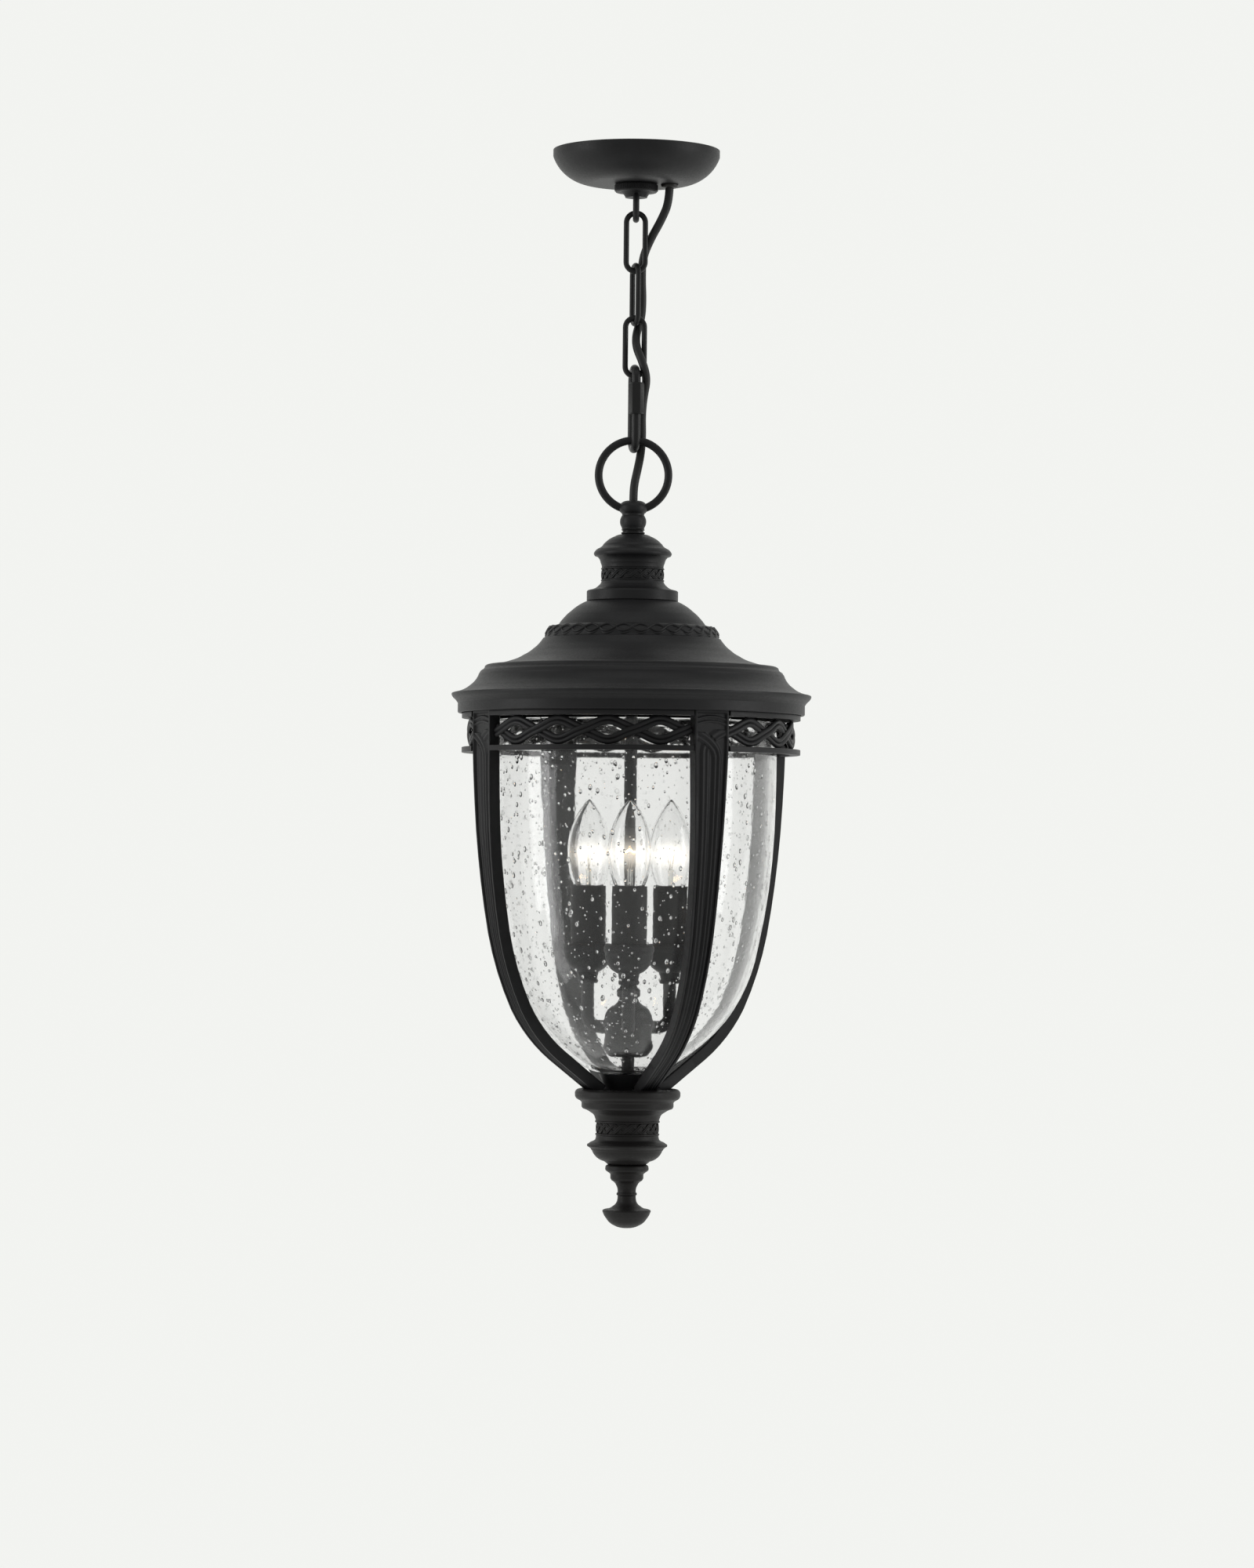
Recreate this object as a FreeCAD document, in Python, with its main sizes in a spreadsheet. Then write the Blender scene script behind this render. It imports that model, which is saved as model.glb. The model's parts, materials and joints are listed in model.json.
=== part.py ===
import FreeCAD, Part

import math
import os
from types import SimpleNamespace

import Sketcher

# Hanging lantern. Millimetres, +Z up. The origin is on the lantern's axis in the ceiling plane,
# so the whole object hangs below Z = 0. -Y is the side a viewer faces.

doc = FreeCAD.newDocument("hanging_lantern")
sheet = doc.addObject("Spreadsheet::Sheet", "Sizes")
Vector = FreeCAD.Vector
Rotation = FreeCAD.Rotation
UP = Vector(0, 0, 1)


class Size:
    """A length or an angle: its value now, and the sheet formula that keeps it true."""

    def __init__(self, value, formula):
        self.value = float(value)
        self.formula = formula

    def __add__(self, other):
        return Size(self.value + amount(other), f"({self.formula} + {formula(other)})")

    def __sub__(self, other):
        return Size(self.value - amount(other), f"({self.formula} - {formula(other)})")

    def __mul__(self, other):
        return Size(self.value * amount(other), f"({self.formula} * {formula(other)})")

    def __truediv__(self, other):
        return Size(self.value / amount(other), f"({self.formula} / {formula(other)})")

    def __neg__(self):
        return Size(-self.value, f"(0 - {self.formula})")

    __radd__ = __add__
    __rmul__ = __mul__

    def __rsub__(self, other):
        return Size(amount(other) - self.value, f"({formula(other)} - {self.formula})")


def amount(size):
    return size.value if isinstance(size, Size) else float(size)


def formula(size):
    return size.formula if isinstance(size, Size) else f"{float(size):.9g}"


def root(size):
    return Size(math.sqrt(amount(size)), f"sqrt({formula(size)})")


def arcsine(ratio):
    """The angle in degrees, as a plain number."""
    return Size(math.degrees(math.asin(ratio.value)), f"(asin({ratio.formula}) / 1 deg)")


DRIVING = {
    # ceiling set
    "canopy_radius": 65.0,
    "canopy_depth": 26.0,
    "canopy_rim": 5.0,
    "canopy_flat_radius": 35.0,
    "canopy_wall": 1.2,
    "crossbar_length": 110.0,
    "crossbar_width": 20.0,
    "crossbar_thickness": 1.6,
    "slot_spacing": 88.9,
    "slot_straight": 8.0,
    "slot_radius": 2.2,
    "stem_radius": 4.9,
    "stem_wall": 1.4,
    "thread_clearance": 0.05,
    "nut_radius": 8.4,
    "nut_height": 5.0,
    "ground_screw_place": 28.0,
    "ground_screw_radius": 1.9,
    "loop_thread_radius": 12.0,
    "loop_wire": 5.0,
    "loop_mean_radius": 11.0,
    "loop_drop": 56.2,
    "collar_radius": 17.0,
    "collar_height": 6.5,
    "bushing_place": 26.0,
    "bushing_radius": 5.0,
    "bushing_flange": 6.8,
    "bushing_drop": 3.0,
    "cord_diameter": 6.5,
    "cord_clearance": 0.12,
    # chain
    "link_length": 49.8,
    "link_width": 19.0,
    "link_wire": 4.3,
    "link_gap": 0.3,
    "link_twist": 18.0,
    "quick_length": 69.2,
    "quick_width": 27.0,
    "quick_wire": 6.6,
    "quick_twist": 9.0,
    "quick_mouth": 8.0,
    "sleeve_nut_length": 24.5,
    "sleeve_nut_radius": 6.1,
    "sleeve_nut_drop": 15.0,
    # ring and hub
    "ring_mean_radius": 27.2,
    "ring_wire": 6.2,
    "hub_drop": 20.0,
    "hub_height": 22.0,
    "hub_mouth_radius": 5.6,
    "hub_neck_radius": 8.9,
    "hub_bore_depth": 13.0,
    "hub_collar_radius": 9.3,
    "hub_collar_height": 4.2,
    # crown and roof
    "casting_wall": 3.0,
    "crown_cap_height": 26.2,
    "crown_cap_radius": 27.2,
    "crown_neck_radius": 23.6,
    "crown_collar_height": 26.3,
    "crown_braid_width": 9.6,
    "crown_band_radius": 35.6,
    "roof_height": 87.8,
    "roof_braid_radius": 60.5,
    "roof_lip_projection": 4.9,
    "skirt_overhang": 3.3,
    "washer_radius": 12.5,
    "washer_thickness": 1.5,
    # cage
    "cage_radius": 131.8,
    "cage_height": 295.6,
    "panel_height": 30.8,
    "panel_rail": 4.1,
    "panel_web": 2.8,
    "panel_set_back": 5.5,
    "panel_gap": 0.2,
    "eye_length": 23.5,
    "eye_height": 11.0,
    "rib_set_back": 1.3,
    "rib_depth": 9.5,
    "rib_width": 29.0,
    "rib_foot_width": 14.0,
    "rib_foot_radius": 28.5,
    "rib_tongue": 8.0,
    "rib_lip_gap": 4.7,
    "rib_bearing": 28.0,
    "foot_screw_radius": 2.0,
    "foot_screw_place": 25.5,
    # glass
    "bell_wall": 3.0,
    "bell_gap": 7.5,
    "bell_top_gap": 5.6,
    "bell_floor_radius": 20.0,
    "bell_hole_radius": 8.0,
    "gasket_thickness": 2.0,
    "seat_height": 14.5,
    "seat_radius": 22.9,
    # candle cluster
    "cluster_lift": 30.2,
    "cluster_height": 62.0,
    "cluster_radius": 20.0,
    "candle_circle": 37.0,
    "arm_tube_radius": 5.0,
    "arm_bend": 10.0,
    "arm_drop": 10.0,
    "cup_height": 31.0,
    "cup_radius": 19.5,
    "cup_recess": 2.0,
    "sleeve_radius": 13.6,
    "sleeve_wall": 1.2,
    "sleeve_length": 47.0,
    "socket_radius": 10.5,
    "socket_length": 40.0,
    "socket_depth": 25.0,
    "bulb_base_radius": 6.0,
    "bulb_base_length": 24.0,
    "bulb_radius": 17.0,
    "bulb_height": 74.6,
    "bulb_neck_radius": 10.2,
    "bulb_wall": 1.0,
    # bottom
    "holder_height": 58.6,
    "holder_lip_radius": 41.0,
    "holder_lip_wire": 8.4,
    "holder_dish_depth": 4.6,
    "holder_neck_radius": 23.6,
    "holder_foot_radius": 15.1,
    "finial_height": 49.4,
    "finial_lip_radius": 18.6,
    "finial_bore_depth": 12.0,
}


def entered(name, value, row):
    """A driving size: a plain number in a cell of its own, under its own name."""
    sheet.set(f"A{row}", name)
    sheet.set(f"B{row}", str(value))
    sheet.setAlias(f"B{row}", name)
    return Size(value, f"Sizes.{name}")


s = SimpleNamespace(**{n: entered(n, v, row) for row, (n, v) in enumerate(DRIVING.items(), 1)})
doc.recompute()

pieces = []


def bind(thing, place, size):
    """Ties one property or constraint to the sheet."""
    thing.setExpression(place, formula(size))


def kept(thing, label):
    """Names a finished piece and puts it on the list that is written out."""
    thing.Label = label
    pieces.append(thing)
    return thing


def placed(thing, x=0, y=0, z=0, turn=0):
    """Moves a piece to x, y, z and turns it by turn degrees about its own upright axis."""
    thing.Placement = FreeCAD.Placement(
        Vector(amount(x), amount(y), amount(z)), Rotation(UP, amount(turn) or 1e-9)
    )
    for axis, size in (("x", x), ("y", y), ("z", z)):
        bind(thing, f"Placement.Base.{axis}", size)
    if amount(turn):
        bind(thing, "Placement.Rotation.Angle", turn)
    return thing


def curve(start, end, bow):
    """An arc from start to end that bulges to the left by bow of its chord: (edge, it runs backwards)."""
    chord = end - start
    left = Vector(-chord.y, chord.x, 0)
    share = 1 / (8 * abs(bow)) + abs(bow) / 2
    radius = chord.Length * share
    centre = (start + end) * 0.5 + left * (bow - math.copysign(share, bow))
    first, last = (end, start) if bow > 0 else (start, end)
    angles = [math.atan2(p.y - centre.y, p.x - centre.x) for p in (first, last)]
    if angles[1] <= angles[0]:
        angles[1] += 2 * math.pi
    return Part.ArcOfCircle(Part.Circle(centre, UP, radius), *angles), bow > 0


def draw(sketch, corners):
    """A closed outline. A corner is (across, up), or (across, up, bow) where the stretch that ends
    there is an arc: bow is how far it bulges to the left of travel, as a share of its chord."""
    points = [Vector(amount(c[0]), amount(c[1]), 0) for c in corners]
    ends = []
    for i, corner in enumerate(corners):
        before = corners[i - 1]
        if len(corner) == 2:
            edge, backwards = Part.LineSegment(points[i - 1], points[i]), False
        else:
            edge, backwards = curve(points[i - 1], points[i], amount(corner[2]))
        number = sketch.addGeometry(edge, False)
        ends.append((number, 2, 1) if backwards else (number, 1, 2))
        if len(corner) == 3:
            across = corner[0] - before[0]
            up = corner[1] - before[1]
            chord = root(across * across + up * up)
            bow = corner[2] if amount(corner[2]) > 0 else -corner[2]
            radius = chord / (bow * 8) + chord * bow / 2
            tie(sketch, Sketcher.Constraint("Radius", number, radius.value), radius)
    for i, corner in enumerate(corners):
        here, following = ends[i], ends[(i + 1) % len(ends)]
        sketch.addConstraint(
            Sketcher.Constraint("Coincident", here[0], here[2], following[0], following[1])
        )
        for kind, size, axis in (("DistanceX", corner[0], -2), ("DistanceY", corner[1], -1)):
            if isinstance(size, Size) or size:
                to_corner = Sketcher.Constraint(kind, -1, 1, here[0], here[2], amount(size))
                tie(sketch, to_corner, size)
            else:
                sketch.addConstraint(
                    Sketcher.Constraint("PointOnObject", here[0], here[2], axis)
                )


def tie(sketch, constraint, size):
    number = sketch.addConstraint(constraint)
    bind(sketch, f"Constraints[{number}]", size)


def sketch_in(body, role, name):
    sketch = body.newObject("Sketcher::SketchObject", name)
    plane = next(f for f in body.Origin.OriginFeatures if f.Role == role)
    sketch.AttachmentSupport = (plane, [""])
    sketch.MapMode = "FlatFace"
    return sketch


def turned(name, corners, sweep=360):
    """A body turned about Z from an outline of (radius, height) corners."""
    body = doc.addObject("PartDesign::Body", name)
    sketch = sketch_in(body, "XZ_Plane", f"{name}_outline")
    draw(sketch, corners)
    turning = body.newObject("PartDesign::Revolution", f"{name}_turning")
    turning.Profile = sketch
    turning.ReferenceAxis = (sketch, ["V_Axis"])
    turning.Midplane = True
    bind(turning, "Angle", sweep)
    return body


def padded(name, role, outlines, depth, midplane=False):
    """A body pushed out of one flat outline, or of one outline with holes in it."""
    body = doc.addObject("PartDesign::Body", name)
    sketch = sketch_in(body, role, f"{name}_outline")
    for corners in outlines:
        draw(sketch, corners)
    pad = body.newObject("PartDesign::Pad", f"{name}_pad")
    pad.Profile = sketch
    pad.Midplane = midplane
    bind(pad, "Length", depth)
    return body


def cylinder(radius, height, x=0, y=0, z=0):
    rod = doc.addObject("Part::Cylinder", "rod")
    bind(rod, "Radius", radius)
    bind(rod, "Height", height)
    return placed(rod, x, y, z)


def block(length, width, height, x, z):
    """A box centred on x and on the XZ plane, standing on z."""
    brick = doc.addObject("Part::Box", "block")
    bind(brick, "Length", length)
    bind(brick, "Width", width)
    bind(brick, "Height", height)
    return placed(brick, x - length / 2, -width / 2, z)


def hexagon(radius, height, z=0):
    prism = doc.addObject("Part::Prism", "hexagon")
    prism.Polygon = 6
    bind(prism, "Circumradius", radius)
    bind(prism, "Height", height)
    return placed(prism, z=z)


def torus(mean_radius, wire_radius, lean, sweep=360):
    """A ring of round wire, leant over by lean degrees about the X axis."""
    ring = doc.addObject("Part::Torus", "wire_ring")
    bind(ring, "Radius1", mean_radius)
    bind(ring, "Radius2", wire_radius)
    ring.Angle3 = sweep
    ring.Placement = FreeCAD.Placement(Vector(), Rotation(Vector(1, 0, 0), lean))
    return ring


def fused(things):
    whole = doc.addObject("Part::MultiFuse", "joined")
    whole.Shapes = things
    whole.Refine = True
    return whole


def cut(base, tool):
    left = doc.addObject("Part::Cut", "cut")
    left.Base = base
    left.Tool = tool
    return left


def common(first, second):
    shared = doc.addObject("Part::Common", "common")
    shared.Base = first
    shared.Tool = second
    return shared


# levels, measured from the ceiling plane downwards
loop_bottom = -s.loop_drop
pitch = s.link_length - 2 * s.link_wire - s.link_gap
link_top = [loop_bottom + s.loop_wire + s.link_wire + s.link_gap]
link_top += [link_top[0] - pitch, link_top[0] - 2 * pitch]
quick_top = link_top[2] - s.link_length + s.link_wire + s.quick_wire + s.link_gap
quick_bottom = quick_top - s.quick_length
ring_top = quick_bottom + s.quick_wire + s.ring_wire + s.link_gap
ring_centre = ring_top - s.ring_mean_radius - s.ring_wire / 2
hub_top = ring_centre - s.hub_drop
hub_collar_top = hub_top - s.hub_height
crown_cap_top = hub_collar_top - s.hub_collar_height
crown_collar_top = crown_cap_top - s.crown_cap_height
roof_top = crown_collar_top - s.crown_collar_height
cage_top = roof_top - s.roof_height
floor = cage_top - s.cage_height
holder_top = floor + s.holder_dish_depth
finial_top = holder_top - s.holder_height
bell_bottom = floor + s.seat_height + s.gasket_thickness
cluster_bottom = floor + s.cluster_lift
cup_bottom = cluster_bottom + s.cluster_height - 6

cord_radius = s.cord_diameter / 2
thread_radius = s.stem_radius + s.thread_clearance


# ceiling set


def make_canopy():
    depth, wall, radius = s.canopy_depth, s.canopy_wall, s.canopy_radius
    hole = s.loop_thread_radius + 0.5
    dish = turned(
        "canopy_dish",
        [
            (radius, 0),
            (radius, -s.canopy_rim),
            (s.canopy_flat_radius, -depth, 0.16),
            (hole, -depth),
            (hole, wall - depth),
            (s.canopy_flat_radius, wall - depth),
            (radius - wall, -s.canopy_rim, -0.16),
            (radius - wall, 0),
        ],
    )
    cord_hole = cylinder(s.bushing_radius, 3 * wall, x=s.bushing_place, z=-depth - wall)
    kept(cut(dish, cord_hole), "canopy")


def slot(place, depth):
    """The shape of a slot with round ends, centred at place on the bar."""
    half, radius, under = s.slot_straight / 2, s.slot_radius, -2 * depth
    middle = block(s.slot_straight, 2 * radius, 3 * depth, place, under)
    ends = [cylinder(radius, 3 * depth, x=place + end * half, z=under) for end in (-1, 1)]
    return fused([middle, *ends])


def make_crossbar():
    thick = s.crossbar_thickness
    bar = block(s.crossbar_length, s.crossbar_width, thick, 0, -thick)
    holes = [slot(end * s.slot_spacing / 2, thick) for end in (-1, 1)]
    holes.append(cylinder(thread_radius, 3 * thick, z=-2 * thick))
    screw_hole = s.ground_screw_radius + s.thread_clearance
    holes.append(cylinder(screw_hole, 3 * thick, x=s.ground_screw_place, z=-2 * thick))
    kept(cut(bar, fused(holes)), "crossbar")


def tube_outline(outer, inner, top, bottom):
    return [(inner, top), (outer, top), (outer, bottom), (inner, bottom)]


def make_nipple():
    bore = s.stem_radius - s.stem_wall
    outline = tube_outline(s.stem_radius, bore, 0, 2 - s.canopy_depth)
    kept(turned("nipple_tube", outline), "canopy_nipple")
    blank = hexagon(s.nut_radius, s.nut_height, -s.crossbar_thickness - s.nut_height)
    through = cylinder(thread_radius, 3 * s.nut_height, z=-s.crossbar_thickness - 2 * s.nut_height)
    kept(cut(blank, through), "nipple_nut")


def make_canopy_loop():
    """The threaded hub with its ring below it, turned edge-on, and the collar on the thread."""
    radius, depth = s.loop_thread_radius, s.canopy_depth
    neck = s.loop_wire * 1.7
    bottom = loop_bottom + s.loop_wire / 2 + 2 * s.loop_mean_radius - s.loop_wire
    hub = turned(
        "loop_thread",
        [
            (0, 11 - depth),
            (radius, 11 - depth),
            (radius, -depth - s.collar_height),
            (neck, bottom, -0.1),
            (0, bottom),
        ],
    )
    ring = torus(s.loop_mean_radius, s.loop_wire / 2, 0)
    ring.Placement = FreeCAD.Placement(Vector(), Rotation(Vector(0, 1, 0), 90))
    bind(ring, "Placement.Base.z", loop_bottom + s.loop_wire / 2 + s.loop_mean_radius)
    bore = cylinder(thread_radius, 12, z=2 - depth)
    kept(cut(fused([hub, ring]), bore), "canopy_loop")
    outer, top = s.collar_radius, -depth
    outline = [
        (radius + s.thread_clearance, top),
        (outer - 1, top),
        (outer, top - 1),
        (outer, top - s.collar_height + 1),
        (outer - 1, top - s.collar_height),
        (radius + s.thread_clearance, top - s.collar_height),
    ]
    kept(turned("collar_ring", outline), "canopy_collar")


def make_ground_screw():
    radius, under = s.ground_screw_radius, -s.crossbar_thickness
    outline = [(0, 0), (radius, 0), (radius, under), (2 * radius, under)]
    outline += [(2 * radius, under - 1.4), (0, under - 2.4, 0.12)]
    kept(placed(turned("screw_body", outline), x=s.ground_screw_place), "ground_screw")


def make_bushing():
    bore = cord_radius + s.cord_clearance
    under = -s.canopy_depth
    outline = [
        (bore, under + s.canopy_wall + 2),
        (s.bushing_radius, under + s.canopy_wall + 2),
        (s.bushing_radius, under),
        (s.bushing_flange, under),
        (s.bushing_radius, under - s.bushing_drop, 0.2),
        (bore, under - s.bushing_drop),
    ]
    kept(placed(turned("bushing_body", outline), x=s.bushing_place), "cord_bushing")


# chain


def oval(length, width, wire):
    """A link of round wire in the XZ plane, centred on the origin."""
    mean, straight = (width - wire) / 2, length - width
    parts = []
    for lean, up in ((90, straight / 2), (-90, -straight / 2)):
        bend = torus(mean, wire / 2, lean, sweep=180)
        bind(bend, "Placement.Base.z", up)
        parts.append(bend)
    for side in (-1, 1):
        parts.append(cylinder(wire / 2, straight, x=side * mean, z=-straight / 2))
    return fused(parts)


def make_links():
    for number, (top, turn) in enumerate(zip(link_top, (0, s.link_twist - 90, 0)), 1):
        link = oval(s.link_length, s.link_width, s.link_wire)
        kept(placed(link, z=top - s.link_length / 2, turn=turn), f"chain_link_{number}")


def make_quick_link():
    """The open link: its front leg is cut through behind the screw sleeve."""
    centre = quick_top - s.quick_length / 2
    leg = (s.quick_width - s.quick_wire) / 2
    sleeve_top = s.quick_length / 2 - s.sleeve_nut_drop
    mouth = cylinder(s.quick_wire, s.quick_mouth, x=leg, z=sleeve_top - 3 - s.quick_mouth)
    link = cut(oval(s.quick_length, s.quick_width, s.quick_wire), mouth)
    kept(placed(link, z=centre, turn=s.quick_twist - 90), "quick_link")
    length = s.sleeve_nut_length
    blank = hexagon(s.sleeve_nut_radius, length)
    bore = cylinder(s.quick_wire / 2 + s.thread_clearance, 3 * length, z=-length)
    chamfer = turned(
        "sleeve_chamfer",
        [
            (0, 0),
            (s.sleeve_nut_radius * 0.88, 0),
            (s.sleeve_nut_radius, s.sleeve_nut_radius * 0.2),
            (s.sleeve_nut_radius, length - s.sleeve_nut_radius * 0.2),
            (s.sleeve_nut_radius * 0.88, length),
            (0, length),
        ],
    )
    nut = cut(common(blank, chamfer), bore)
    bearing = math.radians(amount(s.quick_twist) - 90)
    placed(nut, z=centre + sleeve_top - length)
    nut.Placement.Base.x = leg.value * math.cos(bearing)
    nut.Placement.Base.y = leg.value * math.sin(bearing)
    bind(nut, "Placement.Base.x", leg * Size(math.cos(bearing), f"cos({s.quick_twist.formula} - 90)"))
    bind(nut, "Placement.Base.y", leg * Size(math.sin(bearing), f"sin({s.quick_twist.formula} - 90)"))
    kept(nut, "quick_link_sleeve")


# supply cord: the corners of its route from the bushing, through the chain, into the hub
CORD_ROUTE = [
    (26.0, 0.0, -23.0),
    (26.0, 0.2, -39.0),
    (19.7, 2.1, -53.9),
    (11.4, 4.8, -68.4),
    (5.3, 7.8, -83.2),
    (4.9, 10.3, -99.2),
    (5.7, 11.3, -115.3),
    (4.9, 9.6, -130.3),
    (0.8, 4.2, -142.8),
    (1.1, -2.7, -154.0),
    (6.1, -6.5, -165.5),
    (9.9, -4.7, -178.6),
    (7.1, -0.9, -192.6),
    (5.9, 3.1, -207.0),
    (6.4, 6.7, -221.8),
    (5.6, 7.2, -235.6),
    (3.1, 4.0, -248.7),
    (0.4, 0.5, -261.0),
    (0.0, 0.0, -273.0),
    (0.0, -0.1, -286.0),
]


def make_cord():
    """Straight runs joined by tangent arcs, each as large as its two runs allow."""
    points = [Vector(*p) for p in CORD_ROUTE]
    radius, edges, at, radii = cord_radius.value, [], points[0], []
    for before, corner, after in zip(points, points[1:], points[2:]):
        arrive, leave = corner - before, after - corner
        shorter = min(arrive.Length, leave.Length)
        turn = arrive.getAngle(leave)
        trim = 0.45 * shorter
        bend = trim / math.tan(turn / 2)
        radii.append(bend)
        arrive.normalize()
        leave.normalize()
        start, end = corner - arrive * trim, corner + leave * trim
        half = leave - arrive
        half.normalize()
        centre = corner + half * math.hypot(trim, bend)
        middle = centre - half * bend
        edges.append(Part.LineSegment(at, start).toShape())
        edges.append(Part.Arc(start, middle, end).toShape())
        at = end
    edges.append(Part.LineSegment(at, points[-1]).toShape())
    route = Part.Wire(edges)
    ring = Part.Wire([Part.Circle(points[0], points[1] - points[0], radius).toShape()])
    cord = doc.addObject("Part::Feature", "cord_tube")
    cord.Shape = route.makePipeShell([ring], True, False)
    cord.Placement = FreeCAD.Placement()
    expected = math.pi * radius**2 * route.Length
    print("cord length", round(route.Length, 1), "bend radii", [round(r) for r in radii])
    print("cord volume against section times length", round(cord.Shape.Volume / expected, 4))
    kept(cord, "supply_cord")


# ring and hub


def hub_side():
    """The hub's outer profile from its mouth down: two soft bulges with a waist between them."""
    return [
        (s.hub_mouth_radius, 0),
        (s.hub_neck_radius, -s.hub_height * 0.54, 0.34),
        (s.hub_neck_radius, -s.hub_height, 0.15),
    ]


def make_ring_and_hub():
    cord_bore = cord_radius + s.cord_clearance * 2
    step = -s.hub_bore_depth
    inside = [(thread_radius, -s.hub_height), (thread_radius, step), (cord_bore, step), (cord_bore, 0)]
    kept(placed(turned("hub", hub_side() + inside), z=hub_top), "loop_hub")
    blank = placed(turned("hub_blank", [(0, 0)] + hub_side() + [(0, -s.hub_height)]), z=hub_top)
    ring = torus(s.ring_mean_radius, s.ring_wire / 2, 90)
    bind(ring, "Placement.Base.z", ring_centre)
    kept(cut(ring, blank), "loop_ring")
    radius, height = s.hub_collar_radius, s.hub_collar_height
    outline = [
        (thread_radius, 0),
        (radius - 0.4, 0),
        (radius, -0.5),
        (radius, -1.3),
        (radius - 1, -1.6),
        (radius - 1, -2.0),
        (radius, -2.3),
        (radius, -height),
        (thread_radius, -height),
    ]
    kept(placed(turned("collar_nut", outline), z=hub_collar_top), "hub_collar")


# crown and roof


def make_crown():
    wall, height, radius = s.casting_wall, s.crown_cap_height, s.crown_cap_radius
    neck = s.crown_neck_radius
    cap = [
        (thread_radius, 0),
        (s.hub_collar_radius, 0),
        (radius - 3.5, -8.5, 0.1),
        (radius, -11),
        (radius - 0.4, -18.2, 0.43),
        (neck + 0.5, -height + 1, -0.15),
        (neck + 0.5, -height),
        (neck - wall, -height),
        (neck - wall, -12.5),
        (s.hub_collar_radius, -wall - 0.6, -0.1),
        (thread_radius, -wall),
    ]
    kept(placed(turned("cap", cap), z=crown_cap_top), "crown_cap")
    band, height = s.crown_band_radius, s.crown_collar_height
    braid = -s.crown_braid_width
    collar = [
        (neck, 0),
        (neck, braid),
        (neck + 1.2, braid),
        (band - 2.4, braid - 7, -0.13),
        (band, braid - 8),
        (band, -height),
        (band - wall, -height),
        (band - wall, braid - 9.5),
        (neck - wall, braid - 1.5),
        (neck - wall, 0),
    ]
    kept(placed(turned("collar", collar), z=crown_collar_top), "crown_collar")


def make_roof():
    """Dome, braid band, cove, ledge, second cove, lip and upright skirt, all one casting."""
    wall, height = s.casting_wall, s.roof_height
    band, braid = s.crown_band_radius, s.roof_braid_radius
    skirt = s.cage_radius + s.skirt_overhang
    lip = skirt + s.roof_lip_projection
    ledge = skirt - 20.8
    outline = [
        (thread_radius, 0),
        (band + 0.4, 0),
        (braid - 3, -18.4, 0.12),
        (braid, -18.8),
        (braid + 7.8, -28.6, 0.16),
        (braid + 9, -29.3),
        (ledge - 2.3, -50.5, -0.093),
        (ledge, -51.2),
        (ledge + 4.2, -56.4, 0.1),
        (lip - 4, -71, -0.11),
        (lip, -72),
        (lip, -73.2),
        (skirt, -79.3, 0.12),
        (skirt, -height),
        (skirt - wall, -height),
        (skirt - wall, -78),
        (ledge + 1.8, -59.6, 0.09),
        (ledge - 3, -54.3),
        (braid + 7, -32.6, 0.093),
        (braid - 4, -23),
        (band, -wall, -0.12),
        (thread_radius, -wall),
    ]
    kept(placed(turned("roof_shell", outline), z=roof_top), "roof")


def make_roof_nut():
    thick = s.washer_thickness
    washer = tube_outline(s.washer_radius, thread_radius, thick, 0)
    kept(placed(turned("washer", washer), z=roof_top), "roof_washer")
    blank = hexagon(s.nut_radius, s.nut_height, roof_top + thick)
    through = cylinder(thread_radius, 3 * s.nut_height, z=roof_top - s.nut_height)
    kept(cut(blank, through), "roof_nut")


# cage

rib_radius = s.cage_radius - s.rib_set_back
half_rib = arcsine((s.rib_width / 2 + s.panel_gap) / (s.cage_radius - 8))
EYES, EYE_PITCH = 4, 18


def make_panel(number):
    """Two rails and an openwork web with eye-shaped openings, between two ribs."""
    rail, height, radius = s.panel_rail, s.panel_height, s.cage_radius
    front = radius - s.panel_set_back
    back = front - s.panel_web
    section = [
        (back, 0),
        (radius, 0),
        (radius, -rail),
        (front, -rail),
        (front, rail - height),
        (radius, rail - height),
        (radius, -height),
        (back, -height),
    ]
    body = turned(f"panel_{number}_body", section, 90 - 2 * half_rib)
    doc.recompute()
    solid = body.Shape.Volume
    eyes = sketch_in(body, "YZ_Plane", f"panel_{number}_eye")
    first_eye = Rotation(Vector(0, 1, 0), EYE_PITCH * (EYES - 1) / 2)
    eyes.AttachmentOffset = FreeCAD.Placement(Vector(), first_eye)
    half, middle = s.eye_length / 2, -height / 2
    bow = s.eye_height / (2 * s.eye_length)
    draw(eyes, [(-half, middle, bow), (half, middle, bow)])
    pocket = body.newObject("PartDesign::Pocket", f"panel_{number}_pocket")
    pocket.Profile = eyes
    pocket.Type = "ThroughAll"
    pocket.Reversed = True
    doc.recompute()
    row = body.newObject("PartDesign::PolarPattern", f"panel_{number}_row")
    row.Originals = [pocket]
    row.Axis = (next(f for f in body.Origin.OriginFeatures if f.Role == "Z_Axis"), [""])
    row.Angle = EYE_PITCH * (EYES - 1)
    row.Occurrences = EYES
    row.Reversed = True
    body.Tip = row
    doc.recompute()
    print("panel", number, "eyes take", round(solid - body.Shape.Volume), "mm3")
    kept(placed(body, z=cage_top, turn=s.rib_bearing - 45 + 90 * (number - 1)), f"gallery_panel_{number}")


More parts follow.
